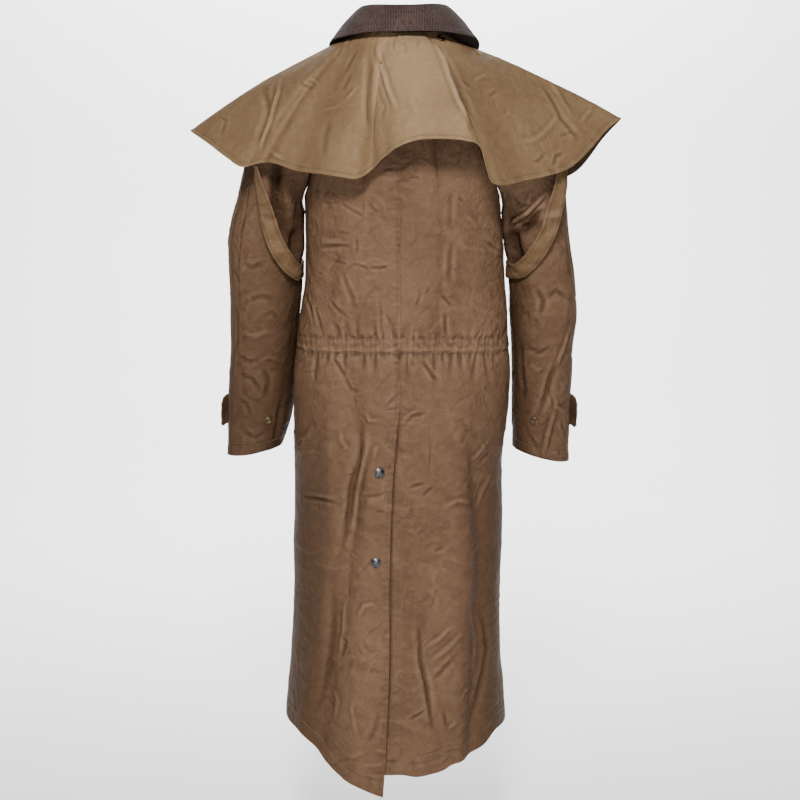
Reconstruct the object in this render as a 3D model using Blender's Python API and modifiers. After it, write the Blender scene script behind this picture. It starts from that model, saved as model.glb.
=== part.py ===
"""Long duster coat with a shoulder cape, held open as if worn.

The coat faces -Y and stands along Z, with the neck base at height zero.
Every cloth piece is one closed wall, made from a surface of sections and folds.
"""
import math

import bpy
import bmesh
from mathutils import Vector

# Cloth and seams.
CLOTH = 0.0016
CORDUROY = 0.0024
SEAM = 0.0003
SEAM_DROP = 0.0033
VENT_DROP = 0.0055
FRONT_DROP = 0.0045
# Snap fasteners.
SNAP_RADIUS = 0.0095
SNAP_HEIGHT = 0.0030
RING_RADIUS = 0.0068
RING_HEIGHT = 0.0022
SNAP_SIDES = 16
# Neck ring.
NECK_HALF = 0.078
NECK_BACK = 0.074
NECK_FRONT = 0.088
NECK_SHARE = 0.38
# Closure of the fronts.
FRONT_LAP = 0.025
BACK_LAP = 0.010
VENT_TOP = -0.585
VENT_UNDERLAP = 0.052
ARMPIT_Z = -0.245
HEM_LEVEL = -1.250
GATHER_DEPTH = 0.0034

# Torso and skirt: height, left half, right half, back depth, front depth.
BODY = [
    (-1.300, 0.216, 0.202, 0.170, 0.166),
    (-1.210, 0.213, 0.196, 0.167, 0.162),
    (-1.130, 0.206, 0.190, 0.163, 0.158),
    (-1.070, 0.200, 0.185, 0.160, 0.155),
    (-0.950, 0.194, 0.183, 0.154, 0.150),
    (-0.840, 0.192, 0.186, 0.149, 0.146),
    (-0.720, 0.190, 0.1835, 0.144, 0.142),
    (-0.620, 0.190, 0.1930, 0.140, 0.137),
    (-0.550, 0.189, 0.196, 0.134, 0.132),
    (-0.500, 0.183, 0.192, 0.125, 0.125),
    (-0.475, 0.181, 0.191, 0.123, 0.124),
    (-0.430, 0.1735, 0.1885, 0.124, 0.127),
    (-0.395, 0.1680, 0.1846, 0.123, 0.128),
    (-0.360, 0.1665, 0.1822, 0.122, 0.128),
    (-0.300, 0.165, 0.1785, 0.121, 0.128),
    (-0.245, 0.1665, 0.174, 0.120, 0.126),
]
# Centre lines above the armpits: height, depth.
CENTRE_BACK = [
    (-0.245, 0.120),
    (-0.180, 0.121),
    (-0.120, 0.119),
    (-0.070, 0.112),
    (-0.035, 0.103),
    (0.000, 0.090),
    (0.0361, 0.074),
]
CENTRE_FRONT = [
    (-0.245, 0.126),
    (-0.180, 0.122),
    (-0.120, 0.113),
    (-0.070, 0.100),
    (-0.0351, 0.088),
]
# Hem height by place across the coat: x, left back, right back, front.
HEM = [
    (0.000, -1.298, -1.254, -1.244),
    (0.035, -1.291, -1.254, -1.244),
    (0.075, -1.276, -1.247, -1.242),
    (0.100, -1.263, -1.236, -1.238),
    (0.128, -1.243, -1.230, -1.230),
    (0.153, -1.221, -1.219, -1.219),
    (0.176, -1.198, -1.200, -1.203),
    (0.200, -1.194, -1.203, -1.200),
    (0.240, -1.194, -1.206, -1.200),
]
# Vent edge of the left back flap: height, x.
VENT_EDGE = [
    (-1.300, 0.034),
    (-1.194, 0.026),
    (-1.059, 0.019),
    (-0.882, 0.018),
    (-0.735, 0.013),
    (-0.640, 0.006),
    (-0.590, 0.001),
    (-0.560, 0.000),
    (0.050, 0.000),
]
# Skirt and back folds: face, x top, z top, x middle, z middle, x low, z low, depth, width.
FOLDS = [
    (1, 0.094, -0.52, 0.074, -0.70, 0.150, -1.20, -0.0121, 0.020),
    (1, 0.120, -0.60, 0.112, -0.85, 0.172, -1.22, 0.0095, 0.018),
    (1, 0.052, -0.62, 0.055, -0.90, 0.085, -1.24, 0.0081, 0.022),
    (1, -0.128, -0.66, -0.148, -0.86, -0.130, -1.24, -0.0108, 0.017),
    (1, -0.100, -0.60, -0.112, -0.86, -0.100, -1.24, 0.0081, 0.020),
    (1, -0.045, -0.92, -0.056, -1.10, -0.092, -1.24, -0.0074, 0.014),
    (1, -0.010, -0.70, -0.022, -0.95, -0.030, -1.24, 0.0047, 0.018),
    (1, -0.076, -0.25, -0.078, -0.34, -0.066, -0.45, -0.0040, 0.011),
    (1, 0.066, -0.27, 0.088, -0.34, 0.110, -0.42, 0.0040, 0.013),
    (1, 0.128, -0.25, 0.118, -0.35, 0.122, -0.45, -0.0040, 0.016),
    (-1, 0.090, -0.55, 0.100, -0.85, 0.120, -1.22, -0.0108, 0.022),
    (-1, 0.052, -0.60, 0.056, -0.90, 0.066, -1.23, 0.0068, 0.022),
    (-1, -0.090, -0.55, -0.104, -0.85, -0.124, -1.22, -0.0108, 0.022),
    (-1, -0.054, -0.60, -0.060, -0.90, -0.070, -1.23, 0.0068, 0.022),
]
# Left sleeve rings: inner x, inner z, outer x, outer z, y middle, y half, dip, tuck.
SLEEVE_LEFT = [
    (0.1715, -0.2400, 0.2050, -0.0440, 0.000, 0.0740, -0.036, 0.00),
    (0.1722, -0.2530, 0.2340, -0.0700, 0.000, 0.0715, -0.018, 0.10),
    (0.1726, -0.2680, 0.2530, -0.1130, 0.000, 0.0690, -0.006, 0.28),
    (0.1728, -0.2880, 0.2660, -0.1720, -0.001, 0.0670, 0.000, 0.42),
    (0.1728, -0.3120, 0.2830, -0.2360, -0.003, 0.0650, 0.000, 0.50),
    (0.1730, -0.3440, 0.3010, -0.3040, -0.006, 0.0640, 0.000, 0.48),
    (0.1735, -0.3900, 0.3030, -0.3760, -0.011, 0.0635, 0.000, 0.30),
    (0.1790, -0.4500, 0.3020, -0.4450, -0.019, 0.0620, 0.000, 0.10),
    (0.1860, -0.5200, 0.3050, -0.5200, -0.029, 0.0600, 0.000, 0.00),
    (0.1905, -0.5850, 0.3110, -0.5900, -0.037, 0.0580, 0.000, 0.00),
    (0.1975, -0.6400, 0.3130, -0.6500, -0.043, 0.0560, 0.000, 0.00),
    (0.2160, -0.6940, 0.3160, -0.7140, -0.046, 0.0530, 0.000, 0.00),
]
# Right sleeve rings, with x counted away from the middle.
SLEEVE_RIGHT = [
    (0.1790, -0.2400, 0.2110, -0.0440, 0.000, 0.0740, -0.036, 0.00),
    (0.1805, -0.2530, 0.2410, -0.0700, 0.000, 0.0715, -0.018, 0.10),
    (0.1820, -0.2680, 0.2620, -0.1130, 0.000, 0.0690, -0.006, 0.30),
    (0.1832, -0.2880, 0.2790, -0.1720, -0.001, 0.0670, 0.000, 0.46),
    (0.1850, -0.3120, 0.2890, -0.2360, -0.003, 0.0650, 0.000, 0.55),
    (0.1885, -0.3440, 0.2960, -0.3040, -0.006, 0.0640, 0.000, 0.52),
    (0.1928, -0.3900, 0.3080, -0.3760, -0.011, 0.0635, 0.000, 0.32),
    (0.1958, -0.4500, 0.3150, -0.4450, -0.019, 0.0620, 0.000, 0.10),
    (0.2010, -0.5200, 0.3100, -0.5200, -0.029, 0.0600, 0.000, 0.00),
    (0.2030, -0.5850, 0.3100, -0.5900, -0.037, 0.0580, 0.000, 0.00),
    (0.2045, -0.6400, 0.3090, -0.6500, -0.043, 0.0560, 0.000, 0.00),
    (0.2070, -0.7000, 0.3090, -0.7260, -0.046, 0.0530, 0.000, 0.00),
]
BACK_SLEEVE_SEAM = 150.0
FRONT_SLEEVE_SEAM = 300.0
# Cape hem: neck angle from the back, hem x, hem y, hem z.
CAPE = [
    (-165, -0.062, -0.174, -0.222),
    (-150, -0.130, -0.172, -0.232),
    (-132, -0.225, -0.142, -0.235),
    (-115, -0.312, -0.090, -0.208),
    (-102, -0.360, -0.038, -0.140),
    (-90, -0.383, 0.000, -0.108),
    (-81, -0.354, 0.026, -0.128),
    (-72, -0.326, 0.054, -0.156),
    (-62, -0.292, 0.083, -0.184),
    (-52, -0.253, 0.111, -0.197),
    (-43, -0.208, 0.137, -0.204),
    (-35, -0.172, 0.149, -0.211),
    (-30, -0.150, 0.153, -0.205),
    (-27, -0.141, 0.170, -0.182),
    (-24, -0.130, 0.192, -0.146),
    (-18, -0.104, 0.202, -0.135),
    (-11, -0.066, 0.204, -0.132),
    (-4, -0.030, 0.201, -0.134),
    (3, 0.004, 0.189, -0.147),
    (9, 0.030, 0.168, -0.167),
    (14, 0.048, 0.152, -0.187),
    (20, 0.072, 0.167, -0.199),
    (26, 0.098, 0.167, -0.196),
    (33, 0.132, 0.156, -0.192),
    (41, 0.172, 0.139, -0.188),
    (49, 0.212, 0.121, -0.176),
    (54, 0.233, 0.103, -0.177),
    (60, 0.264, 0.116, -0.183),
    (69, 0.294, 0.089, -0.168),
    (79, 0.330, 0.050, -0.146),
    (90, 0.363, 0.000, -0.129),
    (102, 0.322, -0.054, -0.160),
    (116, 0.268, -0.104, -0.200),
    (132, 0.200, -0.145, -0.222),
    (150, 0.130, -0.172, -0.226),
    (165, 0.062, -0.174, -0.220),
]
CAPE_CROWN = 0.28
CAPE_SIDE_LEFT = 0.05
CAPE_SIDE_RIGHT = 0.10
COLLAR_LEAN = -0.007
COLLAR_TILT = -0.012
FLAP_LIFT = 0.008
CAPE_STEPS = 8
# Collar leaf: neck angle, stand height, leaf reach, leaf edge height.
COLLAR = [
    (0, 0.0405, 0.025, 0.003),
    (30, 0.0400, 0.030, 0.001),
    (60, 0.0385, 0.041, -0.006),
    (90, 0.0365, 0.050, -0.009),
    (120, 0.0330, 0.052, -0.029),
    (140, 0.0300, 0.052, -0.044),
    (153, 0.0280, 0.046, -0.050),
]
# Left arm strap edges: outer x, y, z, then inner x, y, z.
STRAP_LEFT = [
    (0.249, 0.082, -0.190, 0.240, 0.104, -0.192),
    (0.246, 0.081, -0.225, 0.232, 0.100, -0.216),
    (0.240, 0.080, -0.272, 0.217, 0.090, -0.254),
    (0.226, 0.076, -0.322, 0.202, 0.078, -0.303),
    (0.204, 0.060, -0.362, 0.184, 0.058, -0.340),
    (0.180, 0.034, -0.385, 0.1724, 0.031, -0.357),
    (0.1708, 0.010, -0.384, 0.1700, 0.009, -0.354),
    (0.1708, -0.016, -0.384, 0.1700, -0.016, -0.354),
    (0.178, -0.046, -0.384, 0.1725, -0.044, -0.356),
    (0.204, -0.078, -0.352, 0.187, -0.074, -0.330),
    (0.232, -0.087, -0.300, 0.208, -0.084, -0.285),
    (0.246, -0.087, -0.240, 0.222, -0.086, -0.232),
    (0.250, -0.093, -0.204, 0.224, -0.098, -0.206),
]
# Right arm strap edges, with x counted away from the middle.
STRAP_RIGHT = [
    (0.286, 0.066, -0.194, 0.266, 0.078, -0.198),
    (0.286, 0.066, -0.222, 0.262, 0.076, -0.222),
    (0.280, 0.070, -0.256, 0.252, 0.076, -0.252),
    (0.268, 0.074, -0.300, 0.242, 0.078, -0.288),
    (0.246, 0.070, -0.342, 0.222, 0.070, -0.326),
    (0.216, 0.048, -0.377, 0.199, 0.044, -0.355),
    (0.1882, 0.010, -0.384, 0.1869, 0.008, -0.354),
    (0.1882, -0.016, -0.384, 0.1869, -0.016, -0.354),
    (0.2030, -0.054, -0.384, 0.1960, -0.050, -0.356),
    (0.226, -0.078, -0.352, 0.206, -0.076, -0.332),
    (0.254, -0.084, -0.300, 0.229, -0.084, -0.288),
    (0.270, -0.084, -0.250, 0.246, -0.084, -0.242),
    (0.276, -0.088, -0.214, 0.250, -0.092, -0.216),
]
# Cuff tabs: sleeve angle, stand off, upper, middle and lower station.
TAB = [
    (168, 0.0115, 9.52, 9.88, 10.10),
    (180, 0.0080, 9.34, 10.00, 10.22),
    (195, 0.0050, 9.28, 10.00, 10.20),
    (210, 0.0016, 9.28, 10.00, 10.20),
    (225, 0.0005, 9.28, 10.00, 10.20),
    (240, 0.0000, 9.28, 10.00, 10.20),
    (255, 0.0000, 9.28, 10.00, 10.20),
    (270, 0.0000, 9.28, 10.00, 10.20),
    (285, 0.0000, 9.28, 10.00, 10.20),
]
# Colours for the plain model.
WAX_BROWN = (0.20, 0.125, 0.075)
WAX_TAN = (0.30, 0.205, 0.120)
CORD_BROWN = (0.085, 0.055, 0.045)
GUNMETAL = (0.22, 0.20, 0.19)
BRASS = (0.30, 0.21, 0.11)


def along(table, at):
    """Smoothly read every column of a table at a value of its first column."""
    count = len(table)
    if at <= table[0][0]:
        return table[0][1:]
    if at >= table[-1][0]:
        return table[-1][1:]
    i = 0
    while table[i + 1][0] < at:
        i += 1
    low, high = table[i], table[i + 1]
    span = high[0] - low[0]
    t = (at - low[0]) / span
    before = table[i - 1] if i > 0 else low
    after = table[i + 2] if i + 2 < count else high
    values = []
    for k in range(1, len(low)):
        slope_low = (high[k] - before[k]) / (high[0] - before[0]) * span
        slope_high = (after[k] - low[k]) / (after[0] - low[0]) * span
        a = 2 * t ** 3 - 3 * t ** 2 + 1
        b = t ** 3 - 2 * t ** 2 + t
        c = -2 * t ** 3 + 3 * t ** 2
        d = t ** 3 - t ** 2
        values.append(a * low[k] + b * slope_low + c * high[k] + d * slope_high)
    return tuple(values)


def ease(value, start, end):
    """Go from 0 at start to 1 at end, softly."""
    t = min(1.0, max(0.0, (value - start) / (end - start)))
    return t * t * (3 - 2 * t)


def neck_point(degrees, out=0.0, up=0.0):
    """Point on the neck ring; 0 is the back, 90 the left side, 180 the front."""
    angle = math.radians(degrees)
    depth = NECK_BACK if math.cos(angle) > 0 else NECK_FRONT
    height = 0.0132 + 0.0355 * math.cos(angle) - 0.0127 * math.cos(2 * angle)
    side = Vector((math.sin(angle), math.cos(angle), 0.0))
    ring = Vector((NECK_HALF * math.sin(angle), depth * math.cos(angle), height))
    return ring + side * out + Vector((0.0, 0.0, up))


def fold_push(x, z, face):
    """How far the folds push the cloth out at a place on the back or front."""
    push = 0.0
    for side, x0, z0, x1, z1, x2, z2, depth, width in FOLDS:
        if side != face:
            continue
        if z >= z1:
            share = (z0 - z) / (z0 - z1)
            centre = x0 + (x1 - x0) * share
        else:
            share = (z1 - z) / (z1 - z2)
            centre = x1 + (x2 - x1) * share
        fade = ease(z, z0 + 0.03, z0 - 0.07) * ease(z, z2 - 0.07, z2 + 0.02)
        push += depth * fade * math.exp(-((x - centre) / width) ** 2)
    return push


def gather_push(angle, z, face):
    """Small gathers of the drawn waist, strongest at the casing."""
    count = 12 if face > 0 else 7
    place = angle / 90.0 * count
    strength = math.exp(-((z + 0.487) / 0.034) ** 2)
    if face < 0:
        strength *= ease(abs(angle), 9.0, 20.0)
    uneven = 0.75 + 0.25 * math.sin(place * 2.3 + 0.7 * face)
    return GATHER_DEPTH * strength * uneven * math.cos(2 * math.pi * place)


def body_point(q, z, side, face, drop=0.0):
    """Point on the torso or skirt; q is the distance from the middle to one side."""
    left, right, back, front = along(BODY, z)
    half = left if side * q > 0 else right
    depth = back if face > 0 else front
    ratio = max(-1.0, min(1.0, q / half))
    lean = math.asin(math.copysign(abs(ratio) ** 1.12, ratio))
    y = depth * max(0.0, math.cos(lean)) ** 0.90
    x = side * q
    angle = math.degrees(lean)
    push = fold_push(x, z, face) + gather_push(side * angle, z, face) - drop
    push_side = math.sin(lean)
    return Vector((x + side * push * push_side, face * (y + push * math.cos(lean)), z))


def reach(q_share, z, side):
    """Distance from the middle for a share of the quarter turn at a height."""
    left, right = along(BODY, z)[:2]
    half = left if side > 0 else right
    return half * math.sin(math.radians(90.0 * q_share)) ** (1 / 1.12)


def hem_height(q, side, face):
    """Height of the hem at a distance from the middle."""
    left_back, right_back, front = along(HEM, abs(q))
    if face < 0:
        return front
    return left_back if side > 0 else right_back


def waist_tilt(q, side, z):
    """The drawn waist runs a little lower at the sides."""
    near = math.exp(-((z + 0.49) / 0.10) ** 2)
    amount = 0.010 if side > 0 else 0.020
    return -amount * near * (q / 0.19) ** 2


def sleeve_ring(table, station, degrees):
    """Point on a sleeve; 0 is the inner side, 90 the back, 180 the outer side."""
    numbered = [(float(i),) + row for i, row in enumerate(table)]
    in_x, in_z, out_x, out_z, y_mid, y_half, dip, tuck = along(numbered, station)
    angle = math.radians(degrees)
    share = (1 - math.cos(angle)) / 2
    x = in_x + (out_x - in_x) * share + dip * math.sin(angle) ** 2
    z = in_z + (out_z - in_z) * share
    turn = (degrees + 180.0) % 360.0 - 180.0
    y_half *= 1 - tuck * math.exp(-((turn - 30.0) / 24.0) ** 2)
    return Vector((x, y_mid + y_half * math.sin(angle), z))


def lap_edge(z, side, face):
    """Distance of a panel's middle edge from the middle, towards its own side."""
    if face < 0:
        return -FRONT_LAP
    if side > 0:
        return along(VENT_EDGE, z)[0]
    return -BACK_LAP - (VENT_UNDERLAP - BACK_LAP) * ease(z, VENT_TOP, VENT_TOP - 0.03)


def lap_drop(q, z, side, face):
    """How far an under lap lies below its cover; below zero where a flap stands off."""
    if side > 0 and face > 0:
        return -FLAP_LIFT * ease(z, -0.78, -1.18) * ease(q, 0.11, 0.02)
    if side > 0:
        return 0.0
    if face < 0:
        return FRONT_DROP * ease(q, 0.050, 0.029)
    deep = VENT_DROP * ease(z, VENT_TOP + 0.05, VENT_TOP - 0.05)
    return max(SEAM_DROP, deep) * ease(q, 0.030, 0.004)


def panel_columns(side, face, dense):
    """Shares of the quarter turn for the columns beyond the lap."""
    if dense:
        count = 24 if face > 0 else 14
        return [k / count for k in range(1, count + 1)]
    near = [0.055, 0.110, 0.165, 0.220]
    if face > 0:
        return near + [0.31, 0.42, 0.54, 0.67, 0.80, 0.90, 1.0]
    return near + [0.33, 0.46, 0.60, 0.74, 0.87, 1.0]


def row_places(z, side, face, dense):
    """Distances from the middle for one row of a panel."""
    edge = lap_edge(z, side, face)
    rest = [reach(s, z, side) for s in panel_columns(side, face, dense)]
    first = [edge] if side * face > 0 and face > 0 else [edge, 0.0]
    last = max(first)
    return first + [q for q in rest if q > last + 0.004]


def panel_rows(side, face):
    """Rows of a body panel from the hem to the neck and shoulder."""
    rows = []
    heights = [HEM_LEVEL, -1.190, -1.120, -1.040, -0.960, -0.880, -0.800, -0.730]
    heights += [-0.670, -0.615, -0.590, -0.560]
    band = [-0.532, -0.510, -0.497, -0.486, -0.474, -0.456, -0.432]
    upper = [-0.395, -0.345, -0.295]
    for z in heights + band + upper:
        dense = z in band
        row = []
        for q in row_places(z, side, face, dense):
            level = z + waist_tilt(q, side, z)
            level += (hem_height(q, side, face) - HEM_LEVEL) * ease(z, -1.02, HEM_LEVEL)
            drop = lap_drop(q, z, side, face)
            wider = reach(1.0, level, side) / reach(1.0, z, side) - 1.0
            place = q * (1.0 + wider * ease(q, 0.04, 0.12))
            row.append(body_point(place, level, side, face, drop))
        row[-1].y = face * (SEAM + 0.0001)
        rows.append(row)
    return rows + yoke_rows(side, face)


def yoke_rows(side, face):
    """Rows from the armpit to the neck and shoulder, blended from four edges."""
    steps = 12
    rows = []
    for j in range(steps + 1):
        row = []
        for q in row_places(ARMPIT_Z, side, face, False):
            point = yoke_point(side * q, j / steps, face)
            drop = lap_drop(q, ARMPIT_Z, side, face)
            point -= Vector((0.0, face * drop, 0.8 * drop * (j / steps) ** 3))
            row.append(point)
        rows.append(row)
    return rows


def arm_edge(t, side, face):
    """Armhole edge of a panel, just inside the sleeve."""
    table = SLEEVE_LEFT if side > 0 else SLEEVE_RIGHT
    point = sleeve_ring(table, 0.0, 180.0 * t)
    close = (1 - t) ** 4
    inset = table[0][0] - (0.1665 if side > 0 else 0.1740) - 0.0012
    x = point.x - 0.0012 - inset * close
    y = max(0.0007, point.y - 0.0006)
    return Vector((side * x, face * y, point.z - 0.005 * close))


def centre_line(t, face):
    """Middle of the back or front above the armpit."""
    top = neck_point(0.0 if face > 0 else 180.0)
    z = ARMPIT_Z + (top.z - ARMPIT_Z) * t
    depth = along(CENTRE_BACK if face > 0 else CENTRE_FRONT, z)[0]
    return Vector((0.0, face * depth, z))


def top_edge(share, side, face):
    """Neck curve and shoulder line, from the middle to the shoulder tip."""
    if share <= NECK_SHARE:
        degrees = math.degrees(math.asin(share / NECK_SHARE))
        point = neck_point(degrees if face > 0 else 180.0 - degrees)
    else:
        t = (share - NECK_SHARE) / (1 - NECK_SHARE)
        tip = sleeve_ring(SLEEVE_LEFT if side > 0 else SLEEVE_RIGHT, 0.0, 180.0)
        point = neck_point(90.0).lerp(Vector((tip.x - 0.0012, 0.0, tip.z)), t)
    y = face * max(0.0008, abs(point.y))
    return Vector((side * point.x, y, point.z))


def yoke_point(x, t, face):
    """Point above the armpit, named by its place across the armpit line."""
    side = 1 if x > 0 else -1
    half = along(BODY, ARMPIT_Z)[0 if side > 0 else 1]
    u = min(1.0, abs(x) / half)
    low_mid = body_point(0.0, ARMPIT_Z, side, face)
    low_side = arm_edge(0.0, side, face)
    low = low_side.copy()
    if u < 0.999:
        last = body_point(half, ARMPIT_Z, side, face)
        low = body_point(abs(x), ARMPIT_Z, side, face) + (low_side - last) * u ** 4
    high = top_edge(u, side, face)
    high_mid = top_edge(0.0, side, face)
    high_side = top_edge(1.0, side, face)
    middle = centre_line(t, face) + (low_mid - centre_line(0.0, face)) * (1 - t) ** 2
    edge = arm_edge(t, side, face)
    point = low * (1 - t) + high * t + middle * (1 - u) + edge * u
    point -= low_mid * (1 - u) * (1 - t) + low_side * u * (1 - t)
    point -= high_mid * (1 - u) * t + high_side * u * t
    return point


def cape_point(degrees, t):
    """Point on the cape from the neck, t = 0, to the hem, t = 1."""
    hem = Vector(along(CAPE, degrees))
    neck = neck_point(degrees, 0.0042, 0.0012)
    middle = (neck + hem) / 2
    flatter = CAPE_SIDE_LEFT if degrees > 0 else CAPE_SIDE_RIGHT
    flatter *= ease(abs(degrees), 106.0, 88.0)
    crown = CAPE_CROWN + flatter * math.sin(math.radians(degrees)) ** 2
    middle.z = neck.z + crown * (hem.z - neck.z)
    return neck * (1 - t) ** 2 + middle * 2 * t * (1 - t) + hem * t * t


def collar_profile(degrees):
    """Points across the collar from the stand base to the leaf edge."""
    stand, reach_out, edge_up = along(COLLAR, abs(degrees))
    path = [
        (0.0000, 0.0018),
        (-0.0020, stand * 0.55),
        (-0.0025, stand),
        (0.0015, stand + 0.0050),
        (0.0070, stand + 0.0020),
    ]
    for share in (0.35, 0.70, 1.0):
        bow = 0.005 * math.sin(math.pi * share) * (1 - 0.4 * share)
        out = 0.0070 + (reach_out - 0.0070) * share + bow
        up = stand + 0.0020 + (edge_up - stand - 0.0020) * share
        path.append((out, up))
    points = []
    for k, (out, up) in enumerate(path):
        point = neck_point(degrees, out, up)
        point.z += COLLAR_TILT * point.x * min(1.0, k / 2)
        point.x += COLLAR_LEAN * min(1.0, k / 2)
        points.append(point)
    return points


def strap_rows(table, side):
    """Rows of three points across an arm strap."""
    rows = []
    numbered = [(float(i),) + row for i, row in enumerate(table)]
    steps = 2 * (len(table) - 1)
    for k in range(steps + 1):
        row = along(numbered, k / 2)
        outer = Vector((side * row[0], row[1], row[2]))
        inner = Vector((side * row[3], row[4], row[5]))
        rows.append([outer, (outer + inner) / 2, inner])
    return rows


def sleeve_between(table, station, degrees):
    """Point on the straight cloth between two sleeve rings."""
    low = min(len(table) - 2, int(station))
    first = sleeve_ring(table, float(low), degrees)
    return first.lerp(sleeve_ring(table, low + 1.0, degrees), station - low)


def tab_rows(table, side):
    """Cuff tab made from the sleeve's own points, moved out."""
    base = CLOTH + SEAM + 0.0001
    rows = []
    for angle, stand_off, high, middle, low in TAB:
        row = []
        for station in (high, middle, low):
            point = sleeve_between(table, station, angle)
            ahead = sleeve_ring(table, station, angle + 9) - sleeve_ring(table, station, angle - 9)
            down = sleeve_between(table, 10.2, angle) - sleeve_between(table, 9.2, angle)
            out = ahead.cross(down).normalized()
            point = point + out * (base + stand_off)
            row.append(Vector((side * point.x, point.y, point.z)))
        rows.append(row)
    return rows


def new_piece(name, mesh, colour, metallic=0.0, roughness=0.7, smooth=True):
    """Put a mesh in its own collection under its own name, with its own material."""
    material = bpy.data.materials.new(name + "_finish")
    material.use_nodes = True
    shader = material.node_tree.nodes["Principled BSDF"]
    shader.inputs["Base Color"].default_value = (*colour, 1.0)
    shader.inputs["Metallic"].default_value = metallic
    shader.inputs["Roughness"].default_value = roughness
    piece = bpy.data.objects.new(name, mesh)
    piece.data.materials.append(material)
    holder = bpy.data.collections.new(name)
    bpy.context.scene.collection.children.link(holder)
    holder.objects.link(piece)
    for polygon in mesh.polygons:
        polygon.use_smooth = smooth
    return piece


def join_rows(bm, low, high):
    """Join two rows of vertices with quads, or with triangles if they differ."""
    if len(low) == len(high):
        for k in range(len(low) - 1):
            bm.faces.new((low[k], low[k + 1], high[k + 1], high[k]))
        return
    i, j = 0, 0
    while i < len(low) - 1 or j < len(high) - 1:
        step_low = i < len(low) - 1
        if step_low and j < len(high) - 1:
            next_low = (low[i + 1].co - high[j].co).length
            next_high = (high[j + 1].co - low[i].co).length
            step_low = next_low < next_high
        if step_low:
            bm.faces.new((low[i], low[i + 1], high[j]))
            i += 1
        else:
            bm.faces.new((low[i], high[j + 1], high[j]))
            j += 1


def cloth_piece(name, rows, wall, colour, roughness=0.7):
    """Closed wall of cloth through rows of points."""
    bm = bmesh.new()
    made = [[bm.verts.new(point) for point in row] for row in rows]
    for low, high in zip(made, made[1:]):
        join_rows(bm, low, high)
    bmesh.ops.recalc_face_normals(bm, faces=bm.faces)
    mesh = bpy.data.meshes.new(name)
    bm.to_mesh(mesh)
    bm.free()
    piece = new_piece(name, mesh, colour, 0.0, roughness)
    thicken = piece.modifiers.new("wall", "SOLIDIFY")
    thicken.thickness = wall
    thicken.offset = 0.0
    thicken.use_even_offset = True
    thicken.use_quality_normals = True
    return piece


def snap(name, place, out, radius, height, colour, ringed):
    """Round snap fastener with a domed cap, or a ring with a sunk middle."""
    if ringed:
        path = [(0.0, 0.0), (radius, 0.0), (radius, height * 0.55), (radius * 0.86, height)]
        path += [(radius * 0.60, height), (radius * 0.46, height * 0.45), (0.0, height * 0.45)]
    else:
        path = [(0.0, 0.0), (radius * 0.94, 0.0), (radius, height * 0.30)]
        path += [(radius * 0.88, height * 0.66), (radius * 0.52, height * 0.93), (0.0, height)]
    bm = bmesh.new()
    rings = []
    for r, h in path:
        if r == 0.0:
            rings.append([bm.verts.new((0.0, 0.0, h))])
            continue
        ring = []
        for k in range(SNAP_SIDES):
            angle = 2 * math.pi * k / SNAP_SIDES
            ring.append(bm.verts.new((r * math.cos(angle), r * math.sin(angle), h)))
        rings.append(ring)
    for low, high in zip(rings, rings[1:]):
        for k in range(SNAP_SIDES):
            n = (k + 1) % SNAP_SIDES
            if len(low) == 1:
                bm.faces.new((low[0], high[n], high[k]))
            elif len(high) == 1:
                bm.faces.new((low[k], low[n], high[0]))
            else:
                bm.faces.new((low[k], low[n], high[n], high[k]))
    bmesh.ops.recalc_face_normals(bm, faces=bm.faces)
    turn = Vector((0.0, 0.0, 1.0)).rotation_difference(out).to_matrix()
    for vertex in bm.verts:
        vertex.co = turn @ vertex.co + place
    mesh = bpy.data.meshes.new(name)
    bm.to_mesh(mesh)
    bm.free()
    return new_piece(name, mesh, colour, 1.0, 0.38)


def seat(point, ahead, across, radius, towards):
    """Place and direction for a snap that sits just off a cloth surface."""
    out = ahead.cross(across).normalized()
    if out.dot(towards) < 0:
        out = -out
    return point + out * (CLOTH / 2 + SEAM + radius * 0.02), out


def body_seat(x, z, side, face, radius):
    """Seat for a snap on a body panel."""
    step = radius * 0.7
    q = side * x
    drop = lap_drop(q, z, side, face)
    point = body_point(q, z, side, face, drop)
    ahead = body_point(q + step, z, side, face) - body_point(q - step, z, side, face)
    across = body_point(q, z + step, side, face) - body_point(q, z - step, side, face)
    return seat(point, ahead, across, radius, Vector((0.0, face, 0.0)))


def tab_seat(table, side, radius):
    """Seat for a snap in the middle of the first full flat of a cuff tab."""
    rows = tab_rows(table, side)
    first, second = rows[1], rows[2]
    point = (first[0] + first[1] + second[0] + second[1]) / 4
    return seat(point, second[0] - first[0], first[1] - first[0], radius, Vector((side, 0.0, 0.0)))


def sleeve_seat(table, station, degrees, side, radius):
    """Seat for a snap on a sleeve."""
    point = sleeve_ring(table, station, degrees)
    ahead = sleeve_ring(table, station, degrees + 6) - sleeve_ring(table, station, degrees - 6)
    across = sleeve_ring(table, station + 0.1, degrees) - sleeve_ring(table, station - 0.1, degrees)
    centre = sleeve_ring(table, station, 0.0).lerp(sleeve_ring(table, station, 180.0), 0.5)
    place, out = seat(point, ahead, across, radius, point - centre)
    return Vector((side * place.x, place.y, place.z)), Vector((side * out.x, out.y, out.z))


def build_body():
    """Two back panels and two front panels."""
    for side, label in ((1, "left"), (-1, "right")):
        cloth_piece("back_" + label, panel_rows(side, 1), CLOTH, WAX_BROWN)
        cloth_piece("front_" + label, panel_rows(side, -1), CLOTH, WAX_BROWN)


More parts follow.
